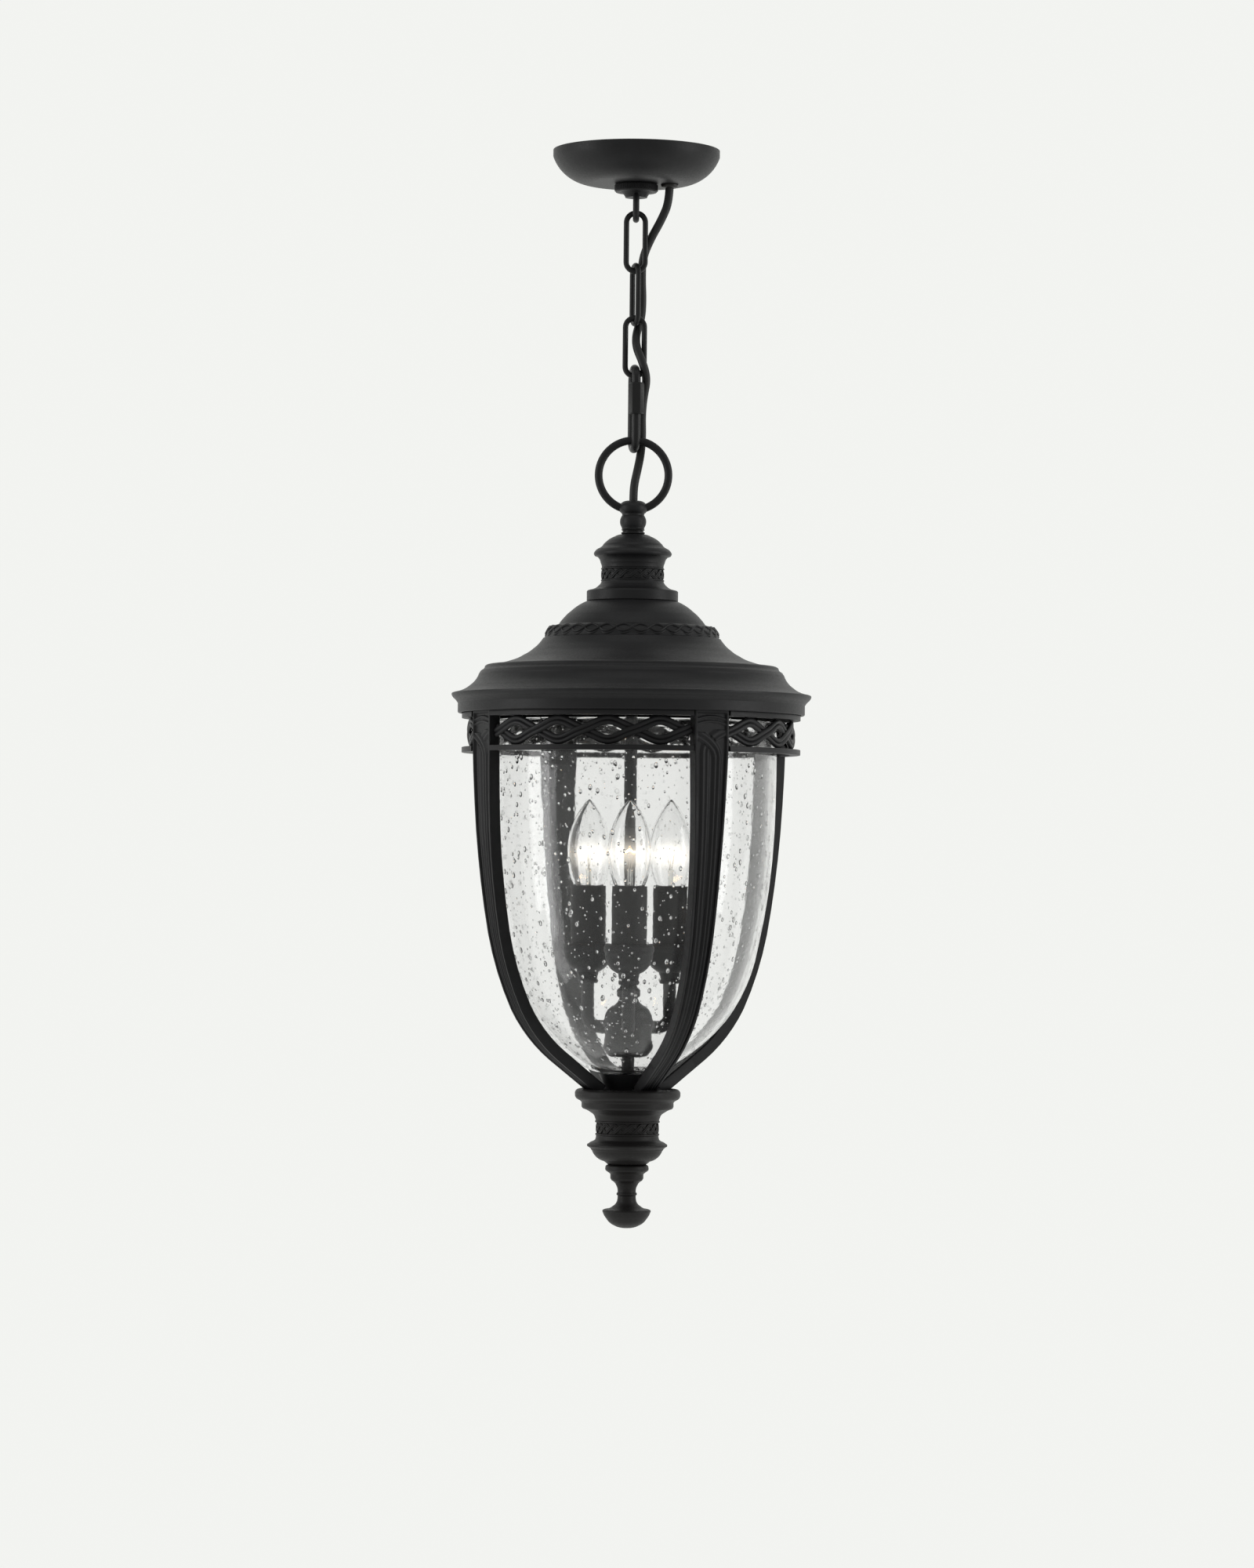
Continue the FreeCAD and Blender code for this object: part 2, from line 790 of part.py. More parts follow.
# stations down a rib's outer face: share of the way out from the foot, share of the way down, the
# lean of the face from upright in degrees, and how far the stretch above it bulges
RIB_STATIONS = [
    (1.0, 0.0, 0.0, 0),
    (0.974, 0.312, 4.3, 0.009),
    (0.876, 0.577, 11.4, 0.014),
    (0.681, 0.776, 26.0, 0.032),
    (0.357, 0.908, 49.0, 0.053),
]
FOOT_LEAN = 53.0

# the same for the glass, from its rim to its flat bottom
BELL_STATIONS = [
    (1.0, 0.0, 0.0, 0),
    (0.988, 0.31, 3.0, 0.0065),
    (0.859, 0.642, 13.0, 0.022),
    (0.605, 0.847, 38.5, 0.056),
    (0.209, 0.97, 57.0, 0.04),
    (0.0, 1.0, 84.0, 0.06),
]


def stations(rows, foot, top, height):
    """Where each station lies: (radius, height below the top, lean, bulge)."""
    return [(foot + (top - foot) * out, -(height * down), lean, bulge) for out, down, lean, bulge in rows]


def inside(radius, up, lean, depth):
    """The point depth behind a station, square to the face."""
    angle = math.radians(lean)
    return radius - depth * math.cos(angle), up + depth * math.sin(angle)


def with_bulge(point, bulge):
    return (*point, bulge) if bulge else tuple(point)


def make_rib(number):
    """The rib's side outline, held to the taper of its front view."""
    height, depth, foot = s.cage_height, s.rib_depth, s.rib_foot_radius
    rows = stations(RIB_STATIONS, foot, rib_radius, height)
    # however wide or tall the cage is, the foot comes down steeply enough to clear the holder's lip
    over_lip = s.holder_dish_depth + s.rib_lip_gap - height
    rows.append((s.holder_lip_radius, over_lip, FOOT_LEAN, 0))
    outline = [with_bulge(row[:2], row[3]) for row in rows]
    outline += [(foot, -height), (foot - 9, -height), (foot - 9, 5 - height)]
    outline.append(inside(foot, -height, FOOT_LEAN, depth))
    bulges = [0] + [-row[3] for row in reversed(rows[1:])]
    for row, bulge in zip(reversed(rows), bulges):
        outline.append(with_bulge(inside(row[0], row[1], row[2], depth), bulge))
    back = rib_radius - depth
    outline += [(back, s.rib_tongue), (back + 5, s.rib_tongue), (back + 5, 0)]
    side = padded(f"rib_{number}_side", "XZ_Plane", [outline], s.rib_width, midplane=True)
    half, half_foot = s.rib_width / 2, s.rib_foot_width / 2
    below = -s.panel_height
    taper = [
        (-half, s.rib_tongue),
        (-half, below),
        (-half_foot * 1.65, -height * 0.39),
        (-half_foot * 1.4, -height * 0.615),
        (-half_foot, -height),
        (half_foot, -height),
        (half_foot * 1.4, -height * 0.615),
        (half_foot * 1.65, -height * 0.39),
        (half, below),
        (half, s.rib_tongue),
    ]
    front = padded(f"rib_{number}_front", "YZ_Plane", [taper], s.cage_radius + 10)
    screw_hole = cylinder(
        s.foot_screw_radius + s.thread_clearance, 8, x=s.foot_screw_place, z=-height - 2
    )
    rib = cut(common(side, front), screw_hole)
    kept(placed(rib, z=cage_top, turn=s.rib_bearing - 90 + 90 * (number - 1)), f"rib_{number}")


def around(thing_at, count, bearing):
    """One thing at each of count places round the axis: thing_at(turn) makes and returns it."""
    return [thing_at(bearing + 360 / count * k) for k in range(count)]


def off_axis(thing, radius, turn):
    """Stands a thing at radius from the axis on the bearing turn, keeping its height."""
    angle = math.radians(amount(turn))
    thing.Placement.Base.x = amount(radius) * math.cos(angle)
    thing.Placement.Base.y = amount(radius) * math.sin(angle)
    bind(thing, "Placement.Base.x", radius * Size(math.cos(angle), f"cos({formula(turn)})"))
    bind(thing, "Placement.Base.y", radius * Size(math.sin(angle), f"sin({formula(turn)})"))
    return thing


def make_foot_screws():
    radius = s.foot_screw_radius
    head_top = floor - s.casting_wall - 1
    outline = [
        (0, s.casting_wall + 6),
        (radius, s.casting_wall + 6),
        (radius, 0),
        (radius * 1.8, 0),
        (radius * 1.8, -1.5),
        (0, -2.6, 0.12),
    ]

    def screw(turn):
        body = placed(turned("foot_screw", outline), z=head_top)
        return off_axis(body, s.foot_screw_place, turn)

    group = doc.addObject("Part::Compound", "foot_screws")
    group.Links = around(screw, 4, s.rib_bearing - 90)
    kept(group, "rib_foot_screws")


# glass


def make_glass():
    """The bell: an open rim under the roof, a long even curve, and a flat bottom with a hole."""
    wall, foot = s.bell_wall, s.bell_floor_radius
    radius = rib_radius - s.rib_depth - s.bell_gap
    height = cage_top - s.bell_top_gap - bell_bottom
    rows = stations(BELL_STATIONS, foot, radius, height)
    outline = [with_bulge(row[:2], row[3]) for row in rows]
    outline += [(s.bell_hole_radius, -height), (s.bell_hole_radius, wall - height)]
    bulges = [0] + [-row[3] for row in reversed(rows[1:])]
    for row, bulge in zip(reversed(rows), bulges):
        outline.append(with_bulge(inside(row[0], row[1], row[2], wall), bulge))
    kept(placed(turned("bell", outline), z=cage_top - s.bell_top_gap), "glass_bell")


def make_seat():
    height, radius = s.seat_height, s.seat_radius
    gasket_radius = s.bell_floor_radius - 2
    lip = s.gasket_thickness - 0.1
    outline = [
        (thread_radius, 0),
        (radius - 6.4, 0),
        (radius - 6.4, 4),
        (radius, height + lip),
        (gasket_radius + 0.2, height + lip),
        (gasket_radius + 0.2, height),
        (thread_radius, height),
    ]
    kept(placed(turned("seat", outline), z=floor), "bell_seat")
    ring = tube_outline(gasket_radius, s.bell_hole_radius, height + s.gasket_thickness, height)
    kept(placed(turned("gasket", ring), z=floor), "bell_gasket")


# candle cluster

arm_level = cluster_bottom + s.arm_drop + 12
candle_bearing = -90.0


def make_stem():
    top = hub_top - s.hub_bore_depth
    bottom = finial_top - s.finial_bore_depth + 1
    outline = tube_outline(s.stem_radius, s.stem_radius - s.stem_wall, top, bottom)
    kept(turned("stem", outline), "centre_stem")


def make_cluster_body():
    radius, height = s.cluster_radius, s.cluster_height
    outline = [
        (thread_radius, 0),
        (radius * 0.4, 0),
        (radius, 12, -0.15),
        (radius * 0.99, 21),
        (radius * 0.93, 34, -0.04),
        (radius * 0.4, 40, -0.2),
        (radius * 0.4, 42),
        (radius * 0.4, 52, -0.32),
        (radius * 0.36, height),
        (thread_radius, height),
    ]
    blank = placed(turned("cluster", outline), z=cluster_bottom)

    def arm_hole(turn):
        rod = cylinder(s.arm_tube_radius, radius)
        rod.Placement = FreeCAD.Placement(Vector(), Rotation(Vector(0, 1, 0), 90))
        start = radius * 0.72
        angle = math.radians(turn)
        rod.Placement.Rotation = Rotation(UP, turn) * Rotation(Vector(0, 1, 0), 90)
        bind(rod, "Placement.Base.x", start * math.cos(angle))
        bind(rod, "Placement.Base.y", start * math.sin(angle))
        bind(rod, "Placement.Base.z", arm_level)
        return rod

    kept(cut(blank, fused(around(arm_hole, 3, candle_bearing))), "cluster_body")


def bent_tube(radius):
    """A J of round rod in the XZ plane: out from the body, round the bend and up."""
    start, bend = s.cluster_radius * 0.72, s.arm_bend
    out = cylinder(radius, s.candle_circle - bend - start)
    out.Placement = FreeCAD.Placement(Vector(), Rotation(Vector(0, 1, 0), 90))
    bind(out, "Placement.Base.x", start)
    corner = torus(bend, radius, 90, sweep=90)
    corner.Placement = FreeCAD.Placement(
        Vector(), Rotation(UP, 0) * Rotation(Vector(1, 0, 0), 90) * Rotation(UP, -90)
    )
    bind(corner, "Placement.Base.x", s.candle_circle - bend)
    bind(corner, "Placement.Base.z", bend)
    height = cup_bottom + s.cup_height - arm_level - bend + 6
    up = cylinder(radius, height, x=s.candle_circle, z=bend)
    return fused([out, corner, up])


def make_candle(number):
    """One arm with its cup, sleeve, socket and bulb."""
    turn = candle_bearing + 120 * (number - 1)
    tube = s.arm_tube_radius
    arm = cut(bent_tube(tube), bent_tube(tube - s.stem_wall))
    kept(placed(arm, z=arm_level, turn=turn), f"arm_{number}")

    def stood(name, label, outline, level):
        body = placed(turned(f"{name}_{number}", outline), z=level)
        kept(off_axis(body, s.candle_circle, turn), label)

    clear = tube + s.thread_clearance
    radius, height = s.cup_radius, s.cup_height
    recess = s.sleeve_radius + 0.1
    cup = [
        (clear, 0),
        (7.2, 0),
        (8.2, 9),
        (radius, height - 4, -0.16),
        (radius, height - 2),
        (radius - 1.5, height),
        (recess, height),
        (recess, height - s.cup_recess),
        (clear, height - s.cup_recess),
    ]
    stood("cup", f"candle_cup_{number}", cup, cup_bottom)
    sleeve_bottom = cup_bottom + height - s.cup_recess
    sleeve = tube_outline(s.sleeve_radius, s.sleeve_radius - s.sleeve_wall, s.sleeve_length, 0)
    stood("sleeve", f"candle_sleeve_{number}", sleeve, sleeve_bottom)
    bore = s.bulb_base_radius + s.thread_clearance
    length, depth = s.socket_length, s.socket_depth
    socket = [
        (clear, 0),
        (s.socket_radius, 0),
        (s.socket_radius, length),
        (bore, length),
        (bore, length - depth),
        (clear, length - depth),
    ]
    stood("socket", f"socket_{number}", socket, sleeve_bottom)
    base_bottom = sleeve_bottom + length - s.bulb_base_length
    screw = s.bulb_base_length
    base = [
        (0, 0),
        (2.4, 0),
        (2.8, 1.5),
        (s.bulb_base_radius, 4),
        (s.bulb_base_radius, screw),
        (0, screw),
    ]
    stood("base", f"bulb_base_{number}", base, base_bottom)
    wall, neck, wide = s.bulb_wall, s.bulb_neck_radius, s.bulb_radius
    tall = s.bulb_height
    widest, throat = tall * 0.46, s.bulb_base_radius - wall
    glass = [
        (throat, 0),
        (s.bulb_base_radius, 0),
        (neck, 3.5, -0.1),
        (wide, widest, -0.057),
        (wall / 2, tall, -0.096),
        (0, tall),
        (0, tall - wall * 2),
        (wall / 2, tall - wall * 2),
        (wide - wall, widest, 0.092),
        (neck - wall, 3.5 + wall, 0.057),
    ]
    stood("envelope", f"bulb_{number}", glass, base_bottom + screw)


# bottom


def make_holder():
    """The dish that the ribs stand in, with its rolled lip, braid band, lower lip and cone."""
    wall, height, lip = s.casting_wall, s.holder_height, s.holder_lip_radius
    neck, foot, dish = s.holder_neck_radius, s.holder_foot_radius, s.holder_dish_depth
    rolled = lip - s.holder_lip_wire
    outline = [
        (thread_radius, -dish),
        (rolled, -dish),
        (lip - 2.1, -7.9, 0.9),
        (lip - 5.2, -10.2),
        (lip - 5.2, -12.8),
        (neck + 7, -17.4, 0.1),
        (neck + 1.2, -22.8, -0.1),
        (neck, -23.2),
        (neck, -35),
        (neck + 1.2, -35),
        (neck + 6.8, -42.1, -0.12),
        (neck + 6.8, -44.4, 0.4),
        (foot, 1.7 - height),
        (foot, -height),
        (foot - wall, -height),
        (foot - wall, 2.5 - height),
        (neck + 1, -44),
        (neck - wall, -37),
        (neck - wall, -21),
        (lip - 9, -13),
        (lip - 9.5, -dish - wall - 1),
        (thread_radius, -dish - wall - 1),
    ]
    blank = placed(turned("holder_shell", outline), z=holder_top)

    def screw_hole(turn):
        rod = cylinder(s.foot_screw_radius + s.thread_clearance, 10, z=floor - 8)
        return off_axis(rod, s.foot_screw_place, turn)

    kept(cut(blank, fused(around(screw_hole, 4, s.rib_bearing - 90))), "holder")


def make_finial():
    """Turned knob: rolled top, cove, bead, flare, lip and rounded bottom, with a threaded bore."""
    height, lip, top = s.finial_height, s.finial_lip_radius, s.holder_foot_radius
    outline = [
        (thread_radius, 0),
        (top, 0),
        (top, -0.8),
        (13.2, -7.4, 0.34),
        (12.9, -7.9),
        (12.9, -10.6),
        (7.2, -20, -0.13),
        (7.9, -28, 0.1),
        (lip - 3.4, -33.2, -0.14),
        (lip, -33.6),
        (lip, -37, 0.2),
        (lip - 1.2, -38.6),
        (0, -height, 0.12),
        (0, -s.finial_bore_depth),
        (thread_radius, -s.finial_bore_depth),
    ]
    kept(placed(turned("knob", outline), z=finial_top), "finial")


make_canopy()
make_crossbar()
make_nipple()
make_canopy_loop()
make_ground_screw()
make_bushing()
make_links()
make_quick_link()
make_cord()
make_ring_and_hub()
make_crown()
make_roof()
make_roof_nut()
for side in (1, 2, 3, 4):
    make_panel(side)
    make_rib(side)
make_foot_screws()
make_glass()
make_seat()
make_stem()
make_cluster_body()
for candle in (1, 2, 3):
    make_candle(candle)
make_holder()
make_finial()

doc.recompute()
for thing in doc.Objects:
    if {"Invalid", "Error"} & set(thing.State):
        raise SystemExit(f"{thing.Label} failed: {thing.State}")
for piece in pieces:
    if piece.Shape.isNull() or not piece.Shape.isValid() or not piece.Shape.Solids:
        raise SystemExit(f"{piece.Label} has no valid solid")

os.makedirs("parts", exist_ok=True)
for piece in pieces:
    piece.Shape.exportStep(f"parts/{piece.Label}.step")
print(len(pieces), "pieces written")
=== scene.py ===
import json
import math

import bmesh
import bpy
from mathutils import Matrix, Vector


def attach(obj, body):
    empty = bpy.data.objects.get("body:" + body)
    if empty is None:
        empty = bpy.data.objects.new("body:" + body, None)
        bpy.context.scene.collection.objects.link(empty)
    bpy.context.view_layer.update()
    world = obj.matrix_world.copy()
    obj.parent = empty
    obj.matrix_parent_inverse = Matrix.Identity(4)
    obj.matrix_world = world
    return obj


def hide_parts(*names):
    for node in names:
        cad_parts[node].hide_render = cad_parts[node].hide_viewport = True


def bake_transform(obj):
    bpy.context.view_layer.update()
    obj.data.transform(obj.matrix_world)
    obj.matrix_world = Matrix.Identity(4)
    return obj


# Hanging lantern: cast aluminium under black powder coat, a seeded glass bell, three candle lamps.
# Outlines are (radius, height) in millimetres in the frame; MM turns them to metres.

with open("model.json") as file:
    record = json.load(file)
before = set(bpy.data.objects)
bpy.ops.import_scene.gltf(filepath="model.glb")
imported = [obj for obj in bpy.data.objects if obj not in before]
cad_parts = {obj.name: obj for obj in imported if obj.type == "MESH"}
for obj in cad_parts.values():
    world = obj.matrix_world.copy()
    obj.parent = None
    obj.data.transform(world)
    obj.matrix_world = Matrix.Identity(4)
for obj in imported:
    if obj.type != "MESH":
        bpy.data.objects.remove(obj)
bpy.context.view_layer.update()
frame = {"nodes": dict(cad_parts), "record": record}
scene = bpy.context.scene
MM = 0.001
FACETS = 192

RECORD = frame["record"]
BODY_OF = {n: body for body, members in RECORD["behaviour"]["bodies"].items() for n in members}


# camera and light

CAMERA_DISTANCE = 3.9
CAMERA_HEIGHT = -0.567
AIM = Vector((-0.0028, 0, -0.494))
PICTURE_HEIGHT = 1.22
ROLL = 0.55
SENSOR = 36


def make_camera():
    lens = bpy.data.cameras.new("camera")
    lens.sensor_width = SENSOR
    lens.lens = SENSOR * CAMERA_DISTANCE / PICTURE_HEIGHT
    lens.clip_end = 40
    camera = bpy.data.objects.new("camera", lens)
    scene.collection.objects.link(camera)
    camera.location = (AIM.x, -CAMERA_DISTANCE, CAMERA_HEIGHT)
    look = (AIM - camera.location).to_track_quat("-Z", "Y").to_matrix().to_4x4()
    turned = look @ Matrix.Rotation(math.radians(ROLL), 4, "Z")
    camera.matrix_world = Matrix.Translation(camera.location) @ turned
    scene.camera = camera


make_camera()


# small tools


def linear(code):
    """An sRGB hex colour as linear red, green, blue, alpha."""
    parts = [int(code[k : k + 2], 16) / 255 for k in (1, 3, 5)]
    return (*[p / 12.92 if p <= 0.04045 else ((p + 0.055) / 1.055) ** 2.4 for p in parts], 1)


def add(tree, kind, feeds=None, **settings):
    """One node: feeds gives each input socket a value or another node's output."""
    node = tree.nodes.new(kind)
    for name, value in settings.items():
        setattr(node, name, value)
    for socket, value in (feeds or {}).items():
        if isinstance(value, bpy.types.NodeSocket):
            tree.links.new(value, node.inputs[socket])
        else:
            node.inputs[socket].default_value = value
    return node


def trace(corners):
    """An outline with its arcs filled in. (across, up, bow) ends a stretch that bulges to the left of
    travel by bow of its chord."""
    points = []
    for before, corner in zip([corners[-1], *corners], corners):
        start, end = Vector(before[:2]), Vector(corner[:2])
        bow = corner[2] if len(corner) == 3 else 0
        if bow:
            chord = end - start
            left = Vector((-chord.y, chord.x))
            share = 1 / (8 * abs(bow)) + abs(bow) / 2
            centre = (start + end) / 2 + left * (bow - math.copysign(share, bow))
            first, last = start - centre, end - centre
            sweep = math.atan2(first.cross(last), first.dot(last))
            steps = max(4, int(abs(math.degrees(sweep)) / 4))
            for k in range(1, steps):
                angle = sweep * k / steps
                spin = Matrix.Rotation(angle, 2)
                points.append(centre + spin @ first)
        points.append(end)
    return points


def soften(points, radius=0.5):
    """Rounds an outline's corners, so that its edges catch light as cast and coated edges do."""
    out = []
    for i, here in enumerate(points):
        before, after = points[i - 1] - here, points[(i + 1) % len(points)] - here
        turn = math.pi - before.angle(after, math.pi)
        if here.x < 1e-4 or math.degrees(turn) < 14:
            out.append(here)
            continue
        trim = min(radius * math.tan(turn / 2), 0.4 * before.length, 0.4 * after.length)
        start, end = here + before.normalized() * trim, here + after.normalized() * trim
        out += [start, (start + 2 * here + end) / 4, end]
    return out


def lathe(corners, radius=0.5, facets=FACETS):
    """A closed mesh turned about Z from an outline."""
    bm = bmesh.new()
    rows = []
    for point in soften(trace(corners), radius):
        count = 1 if point.x < 1e-4 else facets
        turns = [2 * math.pi * k / count for k in range(count)]
        rows.append(
            [
                bm.verts.new((point.x * MM * math.cos(a), point.x * MM * math.sin(a), point.y * MM))
                for a in turns
            ]
        )
    for a, b in zip(rows, rows[1:] + rows[:1]):
        for k in range(max(len(a), len(b)) if len(a) + len(b) > 2 else 0):
            near, far = k, (k + 1) % facets
            corners_here = [a[near % len(a)], b[near % len(b)], b[far % len(b)], a[far % len(a)]]
            bm.faces.new(list(dict.fromkeys(corners_here)))
    return sealed(bm)


def sealed(bm):
    """The mesh of a closed surface, with its faces pointing outwards."""
    bmesh.ops.remove_doubles(bm, verts=bm.verts, dist=1e-6)
    bmesh.ops.recalc_face_normals(bm, faces=bm.faces)
    mesh = bpy.data.meshes.new("turned")
    bm.to_mesh(mesh)
    bm.free()
    return mesh


def tube(points, radius, sides=20, closed=False):
    """Round wire along points, in metres, capped unless it closes on itself."""
    bm = bmesh.new()
    rows = []
    count = len(points)
    side = None
    for i, point in enumerate(points):
        before = points[i - 1] if closed or i else point
        after = points[(i + 1) % count] if closed or i < count - 1 else point
        along = (after - before).normalized()
        if side is None:
            side = along.orthogonal()
        side = (side - along * side.dot(along)).normalized()
        other = along.cross(side)
        angles = [2 * math.pi * k / sides for k in range(sides)]
        rows.append(
            [bm.verts.new(point + (side * math.cos(a) + other * math.sin(a)) * radius) for a in angles]
        )
    for a, b in zip(rows, rows[1:] + (rows[:1] if closed else [])):
        for k in range(sides):
            bm.faces.new((a[k - 1], a[k], b[k], b[k - 1]))
    if not closed:
        bm.faces.new(rows[0][::-1])
        bm.faces.new(rows[-1])
    return sealed(bm)


def joined(meshes):
    """Several closed meshes as one."""
    bm = bmesh.new()
    for mesh in meshes:
        bm.from_mesh(mesh)
        bpy.data.meshes.remove(mesh)
    mesh = bpy.data.meshes.new("joined")
    bm.to_mesh(mesh)
    bm.free()
    return mesh


def shifted(mesh, x=0, y=0, z=0, turn=0):
    mesh.transform(Matrix.Translation((x * MM, y * MM, z * MM)) @ Matrix.Rotation(math.radians(turn), 4, "Z"))
    return mesh


def piece(name, mesh, material, nodes, crease=30, extra=False):
    """A finished piece: smooth but for its sharp edges, coated, and on the body of the nodes it replaces."""
    mesh.materials.clear()
    mesh.materials.append(material)
    mesh.shade_smooth()
    mesh.set_sharp_from_angle(angle=math.radians(crease))
    mesh.name = name
    made = bpy.data.objects.new(name, mesh)
    scene.collection.objects.link(made)
    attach(made, BODY_OF[nodes[0]])
    if not extra:
        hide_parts(*nodes)
    return made


def refined(node, material, crease=30):
    """A CAD node whose shape is right, with its corners merged so that its curves shade smoothly."""
    bm = bmesh.new()
    bm.from_mesh(frame["nodes"][node].data)
    return piece(f"{node}_surface", sealed(bm), material, [node], crease)


# materials


def surface(name, base, rough, metallic=0.0, **values):
    """A Principled material whose constants sit on its own sockets; returns it, its tree and shader."""
    material = bpy.data.materials.new(name)
    material.use_nodes = True
    tree = material.node_tree
    tree.nodes.clear()
    shader = add(
        tree,
        "ShaderNodeBsdfPrincipled",
        {"Base Color": linear(base), "Roughness": rough, "Metallic": metallic},
    )
    for socket, value in values.items():
        shader.inputs[socket.replace("_", " ")].default_value = value
    add(tree, "ShaderNodeOutputMaterial", {"Surface": shader.outputs[0]})
    return material, tree, shader


def grain(tree, shader, size, strength, depth, detail=2.0, stretch=(1, 1, 1), under=None):
    """Bump from noise whose lumps are size millimetres across and depth millimetres deep."""
    place = add(tree, "ShaderNodeTexCoord")
    mapped = add(tree, "ShaderNodeMapping", {"Vector": place.outputs["Object"], "Scale": stretch})
    lumps = add(
        tree,
        "ShaderNodeTexNoise",
        {"Vector": mapped.outputs[0], "Scale": 1 / (size * MM), "Detail": detail, "Roughness": 0.55},
    )
    feeds = {"Height": lumps.outputs[0], "Strength": strength, "Distance": depth * MM}
    if under is not None:
        feeds["Normal"] = under
    bump = add(tree, "ShaderNodeBump", feeds)
    tree.links.new(bump.outputs[0], shader.inputs["Normal"])
    return lumps.outputs[0], bump.outputs[0]


def spread(tree, factor, low, high):
    """A number from noise, from low to high."""
    return add(
        tree,
        "ShaderNodeMapRange",
        {"Value": factor, "From Min": 0.3, "From Max": 0.7, "To Min": low, "To Max": high},
    ).outputs[0]


def tinted(tree, shader, factor, dark, pale):
    """Colour that drifts between two close tones."""
    mix = add(tree, "ShaderNodeMix", {0: factor, 6: linear(dark), 7: linear(pale)}, data_type="RGBA")
    tree.links.new(mix.outputs[2], shader.inputs["Base Color"])


def powder_coat(name, dark, pale, rough):
    """Black polyester powder coat on cast aluminium: matt, with orange peel a millimetre or so across
    and the sand casting's slower waves under it, so highlights break up softly."""
    material, tree, shader = surface(name, dark, rough, IOR=1.36)
    cast, waves = grain(tree, shader, 9, 0.35, 0.25, detail=3)
    peel, _ = grain(tree, shader, 1.3, 0.4, 0.06, detail=4, under=waves)
    tinted(tree, shader, cast, dark, pale)
    tree.links.new(spread(tree, peel, rough - 0.06, rough + 0.08), shader.inputs["Roughness"])
    return material


def plated(name, base, rough):
    """Bright zinc on pressed steel: cool grey with faint spangle and fine draw lines."""
    material, tree, shader = surface(name, base, rough, metallic=1.0)
    spangle, _ = grain(tree, shader, 3, 0.2, 0.03)
    tree.links.new(spread(tree, spangle, rough - 0.08, rough + 0.1), shader.inputs["Roughness"])
    return material


def moulded(name, dark, pale, rough, size=2.0, depth=0.03):
    """A plain moulding: even, a little satin, with fine spark texture."""
    material, tree, shader = surface(name, dark, rough, IOR=1.46)
    speck, _ = grain(tree, shader, size, 0.4, depth, detail=3)
    tinted(tree, shader, speck, dark, pale)
    return material


COAT = powder_coat("powder_coated_cast_aluminium", "#141415", "#1E1E20", 0.46)
WIRE_COAT = powder_coat("powder_coated_steel_wire", "#161616", "#1F1F20", 0.38)
WARM_COAT = powder_coat("powder_coated_aluminium_turned", "#0F0D0D", "#191717", 0.5)
ZINC = plated("zinc_plated_steel", "#C6C8C9", 0.35)
BRASS = plated("pressed_brass_cap", "#D2B06A", 0.28)
GREEN = plated("green_dyed_zinc_screw", "#2F8A4C", 0.4)
SLEEVE = moulded("black_candle_sleeve_card", "#121111", "#1B1918", 0.62)
PHENOLIC = moulded("black_phenolic_socket", "#141312", "#1D1B1A", 0.4)
RUBBER = moulded("nitrile_rubber_washer", "#151515", "#1C1C1C", 0.7)
PVC = moulded("black_pvc_cord_sheath", "#141414", "#1E1E1E", 0.5, size=1.1, depth=0.05)


def seeded_glass():
    """Mouth-blown soda-lime glass: clear, very slightly cool, with slow waves from blowing."""
    material, tree, shader = surface(
        "seeded_soda_lime_glass", "#FDFDFD", 0.045, IOR=1.38, Transmission_Weight=0.985
    )
    _, slow = grain(tree, shader, 34, 0.3, 1.2, detail=1.0, stretch=(1, 1, 0.45))
    grain(tree, shader, 5, 0.25, 0.12, detail=2.0, stretch=(1, 1, 0.5), under=slow)
    return material


# height, reach and strength of the painted halo glowing in each bulb's glass
GLOW_HEIGHT, GLOW_REACH, GLOW_LEVEL = -549.0, 8.5, 0.2


def lamp_glass():
    """Clear lamp envelope with a painted glow: emission in its own wall, strongest round the filament's height
    and where the wall faces the eye, paints the lit filament's halo.
    """
    material, tree, shader = surface("clear_lamp_envelope_painted_halo", "#FFFFFF", 0.0, IOR=1.45, Transmission_Weight=1.0)
    place = add(tree, "ShaderNodeTexCoord")
    apart = add(tree, "ShaderNodeSeparateXYZ", {0: place.outputs["Object"]})
    off = add(tree, "ShaderNodeMath", {0: apart.outputs["Z"], 1: -GLOW_HEIGHT * MM}, operation="ADD")
    ratio = add(tree, "ShaderNodeMath", {0: off.outputs[0], 1: GLOW_REACH * MM}, operation="DIVIDE")
    square = add(tree, "ShaderNodeMath", {0: ratio.outputs[0], 1: ratio.outputs[0]}, operation="MULTIPLY")
    minus = add(tree, "ShaderNodeMath", {0: square.outputs[0], 1: -1.0}, operation="MULTIPLY")
    band = add(tree, "ShaderNodeMath", {0: minus.outputs[0]}, operation="EXPONENT")
    rim = add(tree, "ShaderNodeLayerWeight", {"Blend": 0.5})
    inner = add(tree, "ShaderNodeMath", {0: 1.0, 1: rim.outputs["Facing"]}, operation="SUBTRACT")
    core = add(tree, "ShaderNodeMath", {0: inner.outputs[0], 1: 3.0}, operation="POWER")
    glow = add(tree, "ShaderNodeMath", {0: band.outputs[0], 1: core.outputs[0]}, operation="MULTIPLY")
    level = add(tree, "ShaderNodeMath", {0: glow.outputs[0], 1: GLOW_LEVEL}, operation="MULTIPLY")
    # painted halo: the glass wall itself emits warm light in a band round the filament, brightest facing the
    # eye
    shader.inputs["Emission Color"].default_value = linear("#FFF6E6")
    tree.links.new(level.outputs[0], shader.inputs["Emission Strength"])
    return material


GLASS = seeded_glass()
LAMP = lamp_glass()


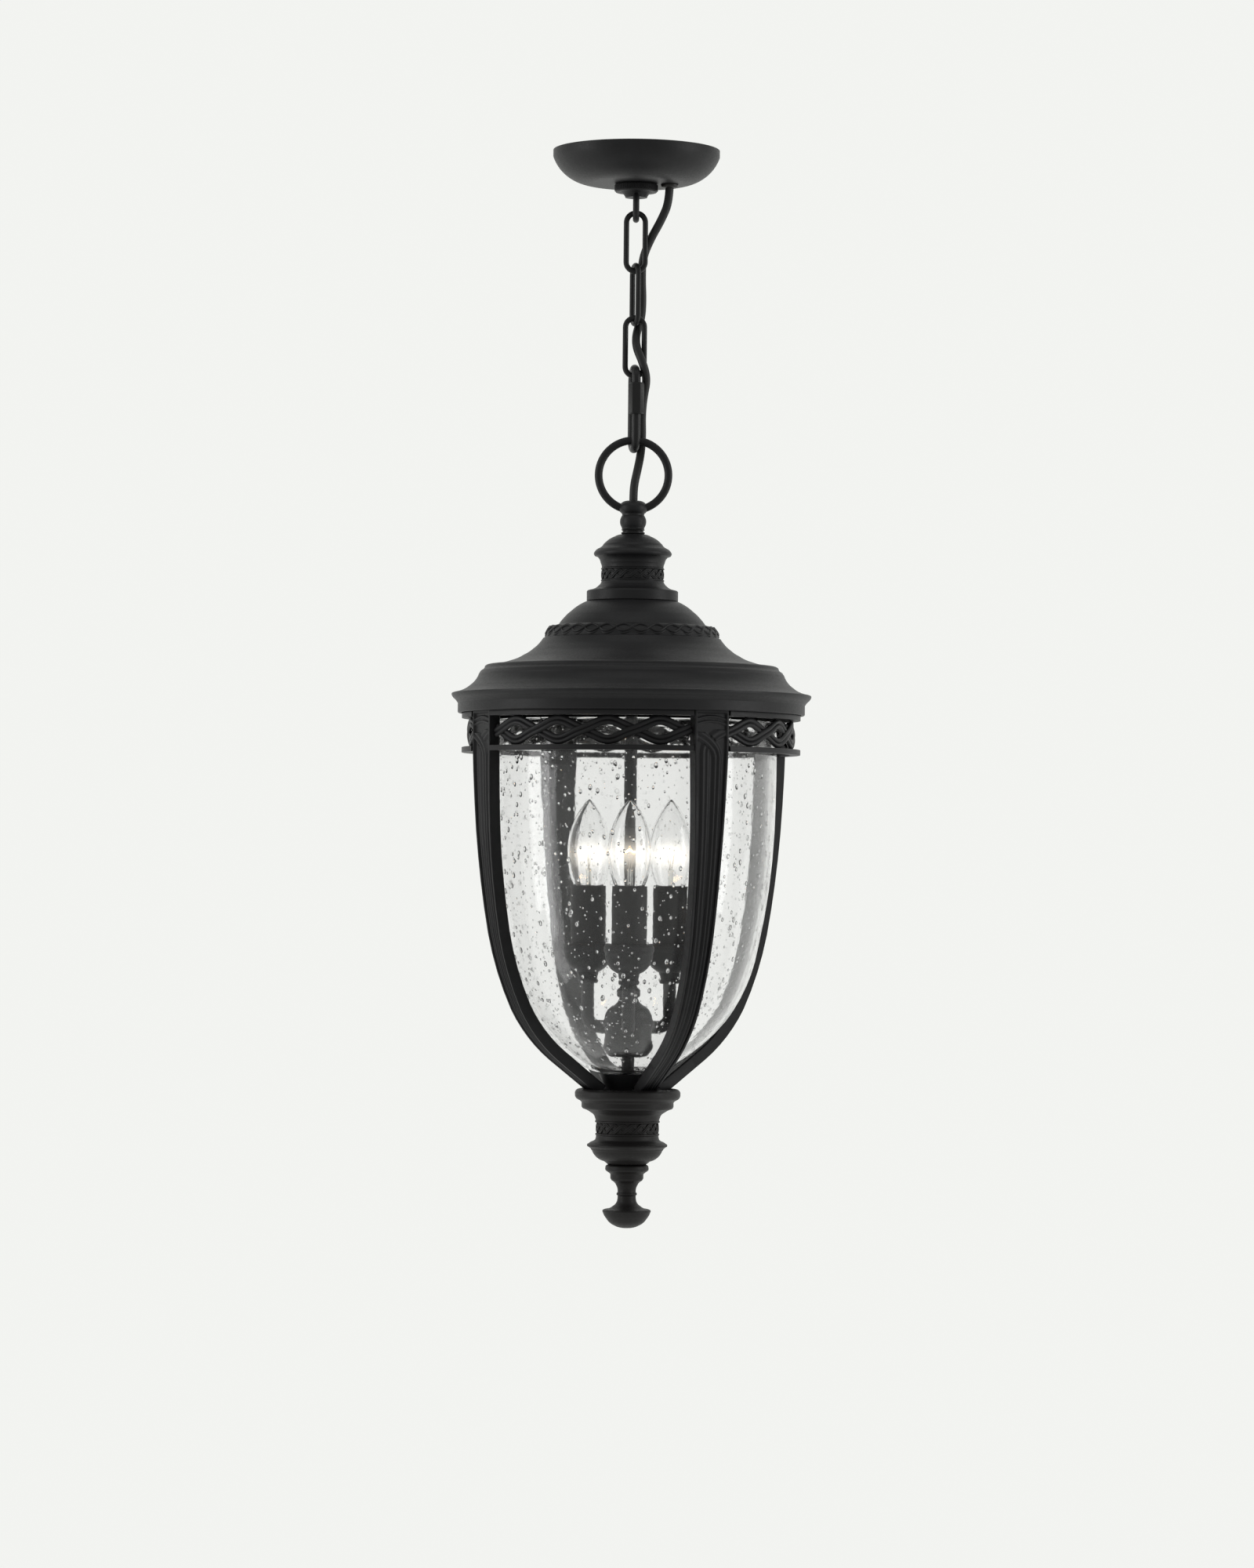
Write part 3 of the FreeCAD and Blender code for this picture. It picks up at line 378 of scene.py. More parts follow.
def seed_glass():
    """The trapped air bubbles of seeded glass: each bends what lies behind it to a bright dot and rim."""
    material, tree, shader = surface("air_seed_in_glass", "#FFFFFF", 0.0, IOR=1.33, Transmission_Weight=1.0)
    grain(tree, shader, 0.8, 0.05, 0.02)
    return material


SEED = seed_glass()


def mount_glass():
    """Lead-free lamp stem glass, clear and fire-polished."""
    material, tree, shader = surface("lamp_stem_glass", "#F4F4F0", 0.03, IOR=1.5, Transmission_Weight=0.95)
    grain(tree, shader, 3, 0.2, 0.1)
    return material


def hot_wire():
    """Coiled tungsten at about 2700 K: white-hot, orange where the eye sees past the glare."""
    material, tree, shader = surface("hot_tungsten", "#FFE9C8", 0.4, metallic=1.0)
    heat, _ = grain(tree, shader, 1.0, 0.2, 0.02)
    colour = add(
        tree, "ShaderNodeMix", {0: heat, 6: linear("#FFB45A"), 7: linear("#FFDFA8")}, data_type="RGBA"
    )
    tree.links.new(colour.outputs[2], shader.inputs["Emission Color"])
    shader.inputs["Emission Strength"].default_value = 30
    return material


MOUNT = mount_glass()
HOT = hot_wire()
NICKEL = plated("nickel_lead_wire", "#B9B4AA", 0.3)


# supply cord

CORD_DIAMETER = 6.5
CORD_ROUTE = [
    (26.0, 0.0, -23.0),
    (26.0, 0.2, -39.0),
    (19.7, 2.1, -53.9),
    (11.4, 4.8, -68.4),
    (5.3, 7.8, -83.2),
    (4.9, 10.3, -99.2),
    (5.7, 11.3, -115.3),
    (4.9, 9.6, -130.3),
    (0.8, 4.2, -142.8),
    (1.1, -2.7, -154.0),
    (6.1, -6.5, -165.5),
    (9.9, -4.7, -178.6),
    (7.1, -0.9, -192.6),
    (5.9, 3.1, -207.0),
    (6.4, 6.7, -221.8),
    (5.6, 7.2, -235.6),
    (3.1, 4.0, -248.7),
    (0.4, 0.5, -261.0),
    (0.0, 0.0, -273.0),
    (0.0, -0.1, -286.0),
]
# the cord passes five swinging joints: (end of the stretch, body above, body below, bend from, bend to)
CORD_STRETCHES = [
    (-74, "ceiling", "link_1", -42, -68),
    (-115, "link_1", "link_2", -80, -108),
    (-156, "link_2", "link_3", -121, -150),
    (-205, "link_3", "quick_link", -162, -195),
    (-290, "quick_link", "lantern", -213, -258),
]


def smooth_line(route, resolution=12):
    """The points of one smooth open line that the route's points pull into shape."""
    curve = bpy.data.curves.new("line", "CURVE")
    curve.dimensions = "3D"
    curve.resolution_u = resolution
    spline = curve.splines.new("NURBS")
    spline.points.add(len(route) - 1)
    for point, place in zip(spline.points, route):
        point.co = (*[c * MM for c in place], 1)
    spline.order_u = 3
    spline.use_endpoint_u = True
    holder = bpy.data.objects.new("line", curve)
    scene.collection.objects.link(holder)
    bpy.context.view_layer.update()
    mesh = bpy.data.meshes.new_from_object(holder.evaluated_get(bpy.context.evaluated_depsgraph_get()))
    points = [v.co.copy() for v in mesh.vertices]
    bpy.data.objects.remove(holder)
    bpy.data.meshes.remove(mesh)
    return points


def make_cord():
    line = smooth_line(CORD_ROUTE)
    at = 0
    for number, (end, above, below, bend_from, bend_to) in enumerate(CORD_STRETCHES, 1):
        last = next((i for i, p in enumerate(line) if p.z < end * MM), len(line) - 1)
        path = line[at : last + 1]
        at = last
        mesh = tube(path, CORD_DIAMETER / 2 * MM, 24)
        mesh.materials.append(PVC)
        mesh.shade_smooth()
        mesh.set_sharp_from_angle(angle=math.radians(60))
        stretch = bpy.data.objects.new(f"supply_cord_{number}", mesh)
        scene.collection.objects.link(stretch)
        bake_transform(stretch)
        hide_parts("supply_cord")


make_cord()


# chain


def oval(length, width, wire, top, turn, gap=None):
    """A chain link's centreline, or a quick link's, which is open from gap[0] to gap[1] on one leg."""
    mean, straight, middle = (width - wire) / 2, (length - width) / 2, top - length / 2
    spin = Matrix.Rotation(math.radians(turn), 3, "Z")
    bends = 24
    flat = []
    if gap:
        flat.append((mean, gap[0] - middle))
    for k in range(bends + 1):
        angle = math.pi * k / bends
        flat.append((mean * math.cos(angle), straight + mean * math.sin(angle)))
    for k in range(bends + 1):
        angle = math.pi * k / bends
        flat.append((-mean * math.cos(angle), -straight - mean * math.sin(angle)))
    if gap:
        flat.append((mean, gap[1] - middle))
    return [spin @ Vector((x * MM, 0, (middle + z) * MM)) for x, z in flat]


LINKS = {"chain_link_1": (-46.6, 0), "chain_link_2": (-87.5, -72), "chain_link_3": (-128.4, 0)}
LINK_SIZE = (49.8, 19.0, 4.3)
QUICK_SIZE = (69.2, 27.0, 6.6)
QUICK_TOP, QUICK_TURN, QUICK_MOUTH = -167.0, -81, (-185.0, -193.0)

for link, (top, turn) in LINKS.items():
    wire = tube(oval(*LINK_SIZE, top, turn), LINK_SIZE[2] / 2 * MM, 20, closed=True)
    piece(f"{link}_wire", wire, WIRE_COAT, [link])
opened = oval(*QUICK_SIZE, QUICK_TOP, QUICK_TURN, QUICK_MOUTH)
piece("quick_link_wire", tube(opened, QUICK_SIZE[2] / 2 * MM, 24), WIRE_COAT, ["quick_link"])
refined("quick_link_sleeve", WIRE_COAT, 20)

# ring and hub

RING_CENTRE, RING_MEAN, RING_WIRE = -253.4, 27.2, 6.2
HUB_TOP, COLLAR_TOP = -273.4, -295.4


def ring_line(clear):
    """The ring's centreline, open where its ends run into the hub."""
    steps = 96
    turns = [math.radians(-90 + clear + (360 - 2 * clear) * k / steps) for k in range(steps + 1)]
    return [
        Vector((RING_MEAN * math.cos(a) * MM, 0, (RING_CENTRE + RING_MEAN * math.sin(a)) * MM))
        for a in turns
    ]


piece("loop_ring_wire", tube(ring_line(14), RING_WIRE / 2 * MM, 28), COAT, ["loop_ring"])
hub = [
    (3.5, HUB_TOP),
    (5.6, HUB_TOP),
    (10.6, HUB_TOP - 3.4, 0.12),
    (9.0, HUB_TOP - 9.8, 0.2),
    (8.6, HUB_TOP - 11.4, -0.1),
    (8.9, HUB_TOP - 20.8, 0.16),
    (8.7, HUB_TOP - 22),
    (4.95, HUB_TOP - 22),
    (4.95, HUB_TOP - 13),
    (3.5, HUB_TOP - 13),
]
piece("loop_hub_casting", lathe(hub, 0.4, 96), COAT, ["loop_hub"])
nut = [
    (4.95, COLLAR_TOP),
    (8.6, COLLAR_TOP),
    (9.2, COLLAR_TOP - 0.7),
    (8.1, COLLAR_TOP - 1.6),
    (8.1, COLLAR_TOP - 2.1),
    (9.2, COLLAR_TOP - 2.7),
    (9.3, COLLAR_TOP - 3.4),
    (8.5, COLLAR_TOP - 4.2),
    (4.95, COLLAR_TOP - 4.2),
]
piece("hub_collar_ring", lathe(nut, 0.15, 96), WIRE_COAT, ["hub_collar"])

# interlaced strands: one tree for the gallery's openwork and for the three braided bands


def interface(tree, sockets):
    """Named inputs of a node tree, after its geometry input and before its geometry output."""
    tree.interface.new_socket("Geometry", in_out="INPUT", socket_type="NodeSocketGeometry")
    for name, kind in sockets:
        tree.interface.new_socket(name, in_out="INPUT", socket_type=f"NodeSocket{kind}")
    tree.interface.new_socket("Geometry", in_out="OUTPUT", socket_type="NodeSocketGeometry")


# a strand's arithmetic: each step's name, its operation, and the numbers, inputs or steps that it takes
STRAND_STEPS = [
    ("open", "SUBTRACT", 1.0, "Closed"),
    ("count", "ADD", "Steps", "open"),
    ("share", "DIVIDE", "Index", "Steps"),
    ("swept", "MULTIPLY", "share", "Sweep"),
    ("turn", "ADD", "Start", "swept"),
    ("waves", "MULTIPLY", "turn", "Waves"),
    ("wave", "ADD", "waves", "Phase"),
    ("triple", "MULTIPLY", "wave", 3.0),
    ("quick sine", "SINE", "triple"),
    ("pinched", "MULTIPLY", "quick sine", "Pinch"),
    ("slow sine", "SINE", "wave"),
    ("shaped", "SUBTRACT", "slow sine", "pinched"),
    ("tallest", "ADD", "Pinch", 1.0),
    ("rise", "DIVIDE", "shaped", "tallest"),
    ("up", "MULTIPLY", "rise", "Swing"),
    ("cross", "COSINE", "wave"),
    ("over", "MULTIPLY", "cross", "Weave"),
    ("woven out", "ADD", "Radius", "over"),
    ("leant", "MULTIPLY", "up", "Lean"),
    ("out", "ADD", "woven out", "leant"),
    ("turn cosine", "COSINE", "turn"),
    ("turn sine", "SINE", "turn"),
    ("across", "MULTIPLY", "out", "turn cosine"),
    ("along", "MULTIPLY", "out", "turn sine"),
    ("level", "ADD", "Height", "up"),
]


def strand_tree():
    """A strand that weaves round the axis: it rises and falls as a wave and passes over and under."""
    tree = bpy.data.node_groups.new("woven_strand", "GeometryNodeTree")
    floats = ("Radius", "Height", "Swing", "Pinch", "Weave", "Lean", "Waves", "Phase", "Start", "Sweep")
    interface(
        tree,
        [(name, "Float") for name in floats]
        + [("Steps", "Int"), ("Closed", "Bool"), ("Profile", "Object"), ("Finish", "Material")],
    )
    given = add(tree, "NodeGroupInput").outputs
    known = {name: given[name] for name in (*floats, "Steps", "Closed")}
    known["Index"] = add(tree, "GeometryNodeInputIndex").outputs[0]
    for name, operation, *takes in STRAND_STEPS:
        feeds = {k: known[t] if isinstance(t, str) else t for k, t in enumerate(takes)}
        known[name] = add(tree, "ShaderNodeMath", feeds, operation=operation).outputs[0]

    line = add(tree, "GeometryNodeCurvePrimitiveLine", {"Start": (0, 0, 0), "End": (1, 0, 0)})
    dotted = add(tree, "GeometryNodeResampleCurve", {"Curve": line.outputs[0], "Count": known["count"]})
    place = add(tree, "ShaderNodeCombineXYZ", {0: known["across"], 1: known["along"], 2: known["level"]})
    woven = add(
        tree,
        "GeometryNodeSetPosition",
        {"Geometry": dotted.outputs[0], "Position": place.outputs[0]},
    )
    looped = add(
        tree,
        "GeometryNodeSetSplineCyclic",
        {"Geometry": woven.outputs[0], "Cyclic": given["Closed"]},
    )
    upright = add(tree, "GeometryNodeSetCurveNormal", {"Curve": looped.outputs[0]}, mode="Z_UP")
    profile = add(tree, "GeometryNodeObjectInfo", {"Object": given["Profile"]})
    solid = add(
        tree,
        "GeometryNodeCurveToMesh",
        {
            "Curve": upright.outputs[0],
            "Profile Curve": profile.outputs["Geometry"],
            "Fill Caps": known["open"],
        },
    )
    real = add(tree, "GeometryNodeRealizeInstances", {0: solid.outputs[0]})
    painted = add(tree, "GeometryNodeSetMaterial", {"Geometry": real.outputs[0], "Material": given["Finish"]})
    add(tree, "NodeGroupOutput", {0: painted.outputs[0]})
    return tree


def grown(tree, settings, base=None):
    """The plain mesh that a tree makes with these settings."""
    holder = bpy.data.objects.new("grown", base or bpy.data.meshes.new("grown"))
    scene.collection.objects.link(holder)
    modifier = holder.modifiers.new("grow", "NODES")
    modifier.node_group = tree
    named = {s.name: s.identifier for s in tree.interface.items_tree if s.in_out == "INPUT"}
    for name, value in settings.items():
        modifier[named[name]] = value
    bpy.context.view_layer.update()
    mesh = bpy.data.meshes.new_from_object(holder.evaluated_get(bpy.context.evaluated_depsgraph_get()))
    holder.modifiers.clear()
    bpy.data.objects.remove(holder)
    return mesh


def section(name, points):
    """A closed flat curve, in millimetres, that a strand is drawn along."""
    curve = bpy.data.curves.new(name, "CURVE")
    curve.dimensions = "3D"
    spline = curve.splines.new("POLY")
    spline.points.add(len(points) - 1)
    for point, (x, y) in zip(spline.points, points):
        point.co = (x * MM, y * MM, 0, 1)
    spline.use_cyclic_u = True
    holder = bpy.data.objects.new(name, curve)
    scene.collection.objects.link(holder)
    return holder


def ribbed(width, thick, ridge):
    """A flat strand's section with two rounded ridges on each face."""
    half, face = width / 2, thick / 2
    side = []
    for k in range(13):
        y = half * (1 - k / 6)
        swell = abs(math.sin(math.pi * (y / half))) ** 0.8
        side.append((face - ridge + ridge * swell, y))
    return side + [(-x, -y) for x, y in side]


EYE_BEARING = -62.0
STRAND = strand_tree()
GALLERY_STRAND = section("gallery_section", ribbed(7.4, 3.4, 1.1))
BRAID_STRAND = section("braid_section", ribbed(2.4, 1.4, 0.3))
ROPE_STRAND = section("rope_section", ribbed(3.4, 2.0, 0.4))


def strands(
    radius, height, swing, eyes, weave, profile, start=0.0, sweep=360.0, pinch=0.1, lean=0.0, steps=14
):
    """Two strands, half a wave apart, that enclose this many eyes in a full turn."""
    closed = sweep >= 360
    meshes = []
    for phase in (0, math.pi):
        settings = {
            "Radius": radius * MM,
            "Height": height * MM,
            "Swing": swing * MM,
            "Pinch": pinch,
            "Weave": weave * MM,
            "Lean": lean,
            "Waves": eyes / 2,
            "Phase": phase + math.radians(EYE_BEARING) * -eyes / 2 + math.pi / 2,
            "Start": math.radians(start),
            "Sweep": math.radians(sweep),
            "Steps": round(eyes * steps * sweep / 360),
            "Closed": closed,
            "Profile": profile,
            "Finish": COAT,
        }
        meshes.append(grown(STRAND, settings))
    return joined(meshes)



# crown and roof

cap = [
    (4.95, -299.6),
    (9.6, -299.7),
    (14.3, -301.3, 0.06),
    (21.7, -306.2, 0.06),
    (23.6, -308.5, 0.06),
    (24.2, -309.1),
    (27.6, -311.1, -0.04),
    (29.9, -313.5, 0.05),
    (30.3, -315.4, 0.1),
    (29.6, -316.6),
    (27.4, -317.4),
    (25.0, -322.0, -0.09),
    (24.1, -325.0, -0.05),
    (24.1, -325.8),
    (20.6, -325.8),
    (20.6, -312.1),
    (9.3, -303.3, -0.1),
    (4.95, -302.6),
]
piece("crown_cap_casting", lathe(cap), COAT, ["crown_cap"])
collar = [
    (20.6, -325.8),
    (24.1, -325.8),
    (24.7, -326.3),
    (24.7, -327.0),
    (23.5, -327.4),
    (23.5, -334.8),
    (24.7, -335.2),
    (24.7, -336.0),
    (24.2, -336.3),
    (26.4, -339.6, -0.08),
    (32.4, -342.9, -0.08),
    (34.9, -343.5),
    (35.6, -344.3),
    (35.6, -351.4),
    (35.0, -352.1),
    (32.6, -352.1),
    (32.6, -345.4),
    (20.6, -337.0),
]
braid = strands(23.6, -331.1, 2.6, 20, 0.25, BRAID_STRAND, pinch=0.05)
piece("crown_collar_casting", joined([lathe(collar), braid]), COAT, ["crown_collar"])

roof = [
    (4.95, -352.1),
    (36.0, -352.1),
    (47.9, -359.9, 0.045),
    (53.0, -364.8, 0.03),
    (57.2, -370.2, 0.03),
    (58.0, -371.2),
    (61.4, -371.3),
    (64.6, -373.7, 0.09),
    (67.2, -378.2, 0.08),
    (68.0, -380.6),
    (69.2, -381.0),
    (71.6, -384.3, -0.02),
    (76.7, -389.2, -0.04),
    (83.9, -394.1, -0.04),
    (94.6, -398.9, -0.04),
    (107.0, -401.7, -0.03),
    (111.5, -402.2),
    (113.6, -402.8, 0.1),
    (114.4, -403.9, 0.12),
    (116.0, -406.1, -0.1),
    (118.2, -408.2, 0.1),
    (119.4, -410.6, 0.05),
    (121.1, -413.6, -0.02),
    (126.0, -418.5, -0.05),
    (131.0, -421.8, -0.04),
    (138.6, -424.1, -0.03),
    (140.0, -424.6),
    (140.0, -425.9),
    (138.4, -428.4, 0.05),
    (135.6, -431.6, -0.06),
    (135.1, -432.0),
    (135.1, -439.3),
    (134.5, -439.9),
    (132.1, -439.9),
    (132.1, -430.1),
    (116.1, -411.7, 0.09),
    (111.3, -406.4),
    (67.5, -384.7, 0.093),
    (56.5, -375.1),
    (35.6, -355.1, -0.12),
    (4.95, -355.1),
]
rope = strands(65.5, -375.9, 2.75, 32, 0.3, ROPE_STRAND, lean=-0.62, pinch=0.0)
piece("roof_casting", joined([lathe(roof, 0.6), rope]), COAT, ["roof"])

# gallery

CAGE_TOP = -439.9
PANEL_HEIGHT, RAIL = 30.8, 4.1
RIB_BEARING = EYE_BEARING
RIB_TOP_WIDTH = 29.0
PANEL_FRONT, PANEL_BACK = 131.8, 123.5
WEAVE_RADIUS, WEAVE_SWING, END_GAP = 125.3, 7.5, 0.2


def swept(corners, start, sweep, steps):
    """A closed bar turned part of the way round the axis, with flat ends."""
    bm = bmesh.new()
    outline = soften(trace(corners), 0.35)
    rows = []
    for k in range(steps + 1):
        a = math.radians(start + sweep * k / steps)
        rows.append([bm.verts.new((p.x * MM * math.cos(a), p.x * MM * math.sin(a), p.y * MM)) for p in outline])
    for a, b in zip(rows, rows[1:]):
        for k in range(len(outline)):
            bm.faces.new((a[k - 1], a[k], b[k], b[k - 1]))
    bm.faces.new(rows[0])
    bm.faces.new(rows[-1])
    return sealed(bm)


def rail(top):
    """A rail's section below this height."""
    low = top - RAIL
    return [(PANEL_BACK, top), (PANEL_FRONT, top), (PANEL_FRONT, low), (PANEL_BACK, low)]


def make_gallery():
    middle = CAGE_TOP - PANEL_HEIGHT / 2
    half_rib = math.degrees(math.asin((RIB_TOP_WIDTH / 2 + 0.25) / (PANEL_FRONT - 8)))
    for number in (1, 2, 3, 4):
        start = RIB_BEARING + 90 * (number - 1) + half_rib
        sweep = 90 - 2 * half_rib
        parts = [swept(rail(CAGE_TOP), start, sweep, 60)]
        parts.append(swept(rail(CAGE_TOP - PANEL_HEIGHT + RAIL), start, sweep, 60))
        weave = strands(
            WEAVE_RADIUS,
            middle,
            WEAVE_SWING,
            20,
            0.75,
            GALLERY_STRAND,
            start=start + END_GAP,
            sweep=sweep - 2 * END_GAP,
            steps=18,
        )
        piece(f"gallery_{number}_casting", joined([*parts, weave]), COAT, [f"gallery_panel_{number}"])


make_gallery()

# ribs

RIB_LINE = [
    (130.5, 0.0),
    (127.85, -92.2, 0.009),
    (117.85, -170.6, 0.014),
    (97.96, -229.4, 0.032),
    (64.9, -268.4, 0.053),
    (28.5, -295.6),
]
RIB_DEPTH = 9.5
RIB_WIDTHS = [(0, 29.0), (31, 29.0), (115, 23.1), (182, 19.6), (235, 17.5), (295.6, 14.2)]
BORDER, RECESS, BACK_ROUND = 1.7, 1.7, 1.0
RIB_FOOT, RIB_FOOT_WIDTH = [(19.5, -290.8), (19.5, -295.6), (28.4, -295.6), (34.4, -290.9)], 14.0
# the relief's crossings end this far down the rib; above it the stations lie close
RELIEF_END, FINE_STEP, PLAIN_STEP = 46, 0.55, 2.2


def rib_width(down):
    """The rib's width in millimetres at this drop below its top."""
    for (a, wide), (b, narrow) in zip(RIB_WIDTHS, RIB_WIDTHS[1:]):
        if down <= b:
            return wide + (narrow - wide) * (down - a) / (b - a)
    return RIB_WIDTHS[-1][1]


def smooth(value, low, high):
    """From 0 at low to 1 at high, with level ends."""
    share = min(1.0, max(0.0, (value - low) / (high - low)))
    return share * share * (3 - 2 * share)


def bump_at(distance, half):
    """A rounded ridge's height share at this distance from its middle."""
    return max(0.0, 1 - (distance / half) ** 2) ** 0.6


def lane(run, start, length, side, half, out):
    """Where a strand's middle lies across the face, and how steeply it crosses there."""
    share = (run - start) / length
    if share <= 0:
        return None
    share = min(share, 1.0)
    ease = 1 - (1 - share) ** 2.4
    across = side * (-half + (out + half) * ease)
    slope = (out + half) * 2.4 * (1 - share) ** 1.4 / length
    return across, math.hypot(1, slope)


def relief(across, run, width):
    """How far the rib's face lies below its border, in millimetres, at a point on the face."""
    half = width / 2
    inner = half - BORDER
    if abs(across) >= inner or run < BORDER:
        return 0.0
    wall = min(smooth(inner - abs(across), 0, 0.7), smooth(run - BORDER, 0, 0.7))
    rise = 0.0
    crown = (across / half) ** 2
    for level in (4.6, 8.2):
        rise = max(rise, 1.0 * bump_at(run - level - 3.2 * crown, 1.1))
    out = half * 0.36
    pair = half * 0.115 + 0.25
    over = lane(run, 17.0, 21.0, 1, half, out)
    under = lane(run, 14.5, 19.0, -1, half, out)
    over_apart = abs(across - over[0]) / over[1] if over else 99
    for strand, top in ((under, 1.25), (over, 1.55)):
        if strand is None:
            continue
        apart = (across - strand[0]) / strand[1]
        if top < 1.5 and over_apart < 2 * pair + 0.5:
            continue
        bed = 0.55 * (1 - smooth(abs(apart), 2 * pair, 2 * pair + 0.5))
        ridges = top * max(bump_at(apart - pair, pair * 0.9), bump_at(apart + pair, pair * 0.9))
        rise = max(rise, bed, ridges)
    return wall * (RECESS - min(rise, RECESS))


def rib_stations():
    """Points down the rib's outer face, with the way out of the face and the run down it."""
    line = trace(RIB_LINE)
    runs = [0.0]
    for a, b in zip(line, line[1:]):
        runs.append(runs[-1] + (b - a).length)
    marks, run = [], 0.0
    while run < runs[-1]:
        marks.append(run)
        run += FINE_STEP if run < RELIEF_END else PLAIN_STEP
    marks.append(runs[-1])
    out = []
    for mark in marks:
        i = max(k for k in range(len(runs) - 1) if runs[k] <= mark + 1e-9)
        share = (mark - runs[i]) / (runs[i + 1] - runs[i])
        point = line[i].lerp(line[i + 1], share)
        ahead = (line[min(i + 2, len(line) - 1)] - line[i]).normalized()
        behind = (line[i + 1] - line[max(i - 1, 0)]).normalized()
        tangent = behind.lerp(ahead, share).normalized()
        out.append((point, Vector((-tangent.y, tangent.x)), mark))
    return out


def rib_mesh():
    """A rib in the XZ plane: its relief on the outer face, plain sides, and a rounded back."""
    bm = bmesh.new()
    cells = 56
    rows = []
    for point, outwards, run in rib_stations():
        width = rib_width(-point.y)
        half = width / 2
        ring = []
        for k in range(cells + 1):
            across = half * (2 * k / cells - 1)
            drop = relief(across, run, width)
            if k in (0, cells):
                drop = 0.35
            place = point - outwards * drop
            ring.append((place.x, across, place.y))
        shallow = RIB_DEPTH - BACK_ROUND
        back = [(half, shallow), (half - BACK_ROUND, RIB_DEPTH)]
        back += [(-across, deep) for across, deep in reversed(back)]
        for across, deep in back:
            place = point - outwards * deep
            ring.append((place.x, across, place.y))
        rows.append([bm.verts.new(Vector(p) * MM) for p in ring])
    for a, b in zip(rows, rows[1:]):
        for k in range(len(a)):
            bm.faces.new((a[k - 1], a[k], b[k], b[k - 1]))
    bm.faces.new(rows[0])
    bm.faces.new(rows[-1])
    return sealed(bm)


def plate(outline, width):
    """A flat outline in the XZ plane, in millimetres, given a width across it."""
    bm = bmesh.new()
    near = [bm.verts.new((x * MM, -width / 2 * MM, z * MM)) for x, z in outline]
    far = [bm.verts.new((x * MM, width / 2 * MM, z * MM)) for x, z in outline]
    bm.faces.new(near)
    bm.faces.new(far)
    for k in range(len(outline)):
        bm.faces.new((near[k - 1], near[k], far[k], far[k - 1]))
    return sealed(bm)


for number in (1, 2, 3, 4):
    pad = plate(RIB_FOOT, RIB_FOOT_WIDTH)
    whole = shifted(joined([rib_mesh(), pad]), z=CAGE_TOP, turn=RIB_BEARING + 90 * (number - 1))
    piece(f"rib_{number}_casting", whole, COAT, [f"rib_{number}"], 38)
refined("rib_foot_screws", WIRE_COAT)

# glass bell

BELL_TOP = -445.5
BELL_WALL, BELL_HOLE = 3.0, 8.0
# radius, height below the rim, lean of the face in degrees, bow
BELL_ROWS = [
    (113.5, 0.0, 0.0, 0),
    (113.5, -1.6, 0.0, 0),
    (112.38, -84.8, 3.0, 0.0065),
    (100.3, -175.6, 13.0, 0.022),
    (76.57, -231.7, 38.5, 0.056),
    (39.5, -265.3, 57.0, 0.04),
    (20.0, -273.5, 84.0, 0.06),
]


def inside(row, wall):
    """A bell row set in by wall, square to the face, which leans row[2] degrees there."""
    lean = math.radians(row[2])
    return row[0] - wall * math.cos(lean), row[1] + wall * math.sin(lean)


def bell_outline(outer, wall):
    """The bell's section: its outer face set in by outer, and a wall of this thickness behind it."""
    across = [(*inside(row, outer), row[3]) if row[3] else inside(row, outer) for row in BELL_ROWS]
    low = BELL_ROWS[-1][1] + outer
    across += [(BELL_HOLE + outer, low), (BELL_HOLE + outer, low + wall)]
    bulges = [0] + [row[3] for row in reversed(BELL_ROWS[1:])]
    for row, bulge in zip(reversed(BELL_ROWS), bulges):
        point = inside(row, outer + wall)
        across.append((*point, -bulge) if bulge else point)
    return [(c[0], c[1] + BELL_TOP, *c[2:]) for c in across]


def make_bell():
    glass = lathe(bell_outline(0, BELL_WALL), 0.8)
    piece("glass_bell_blown", glass, GLASS, ["glass_bell"], 60)


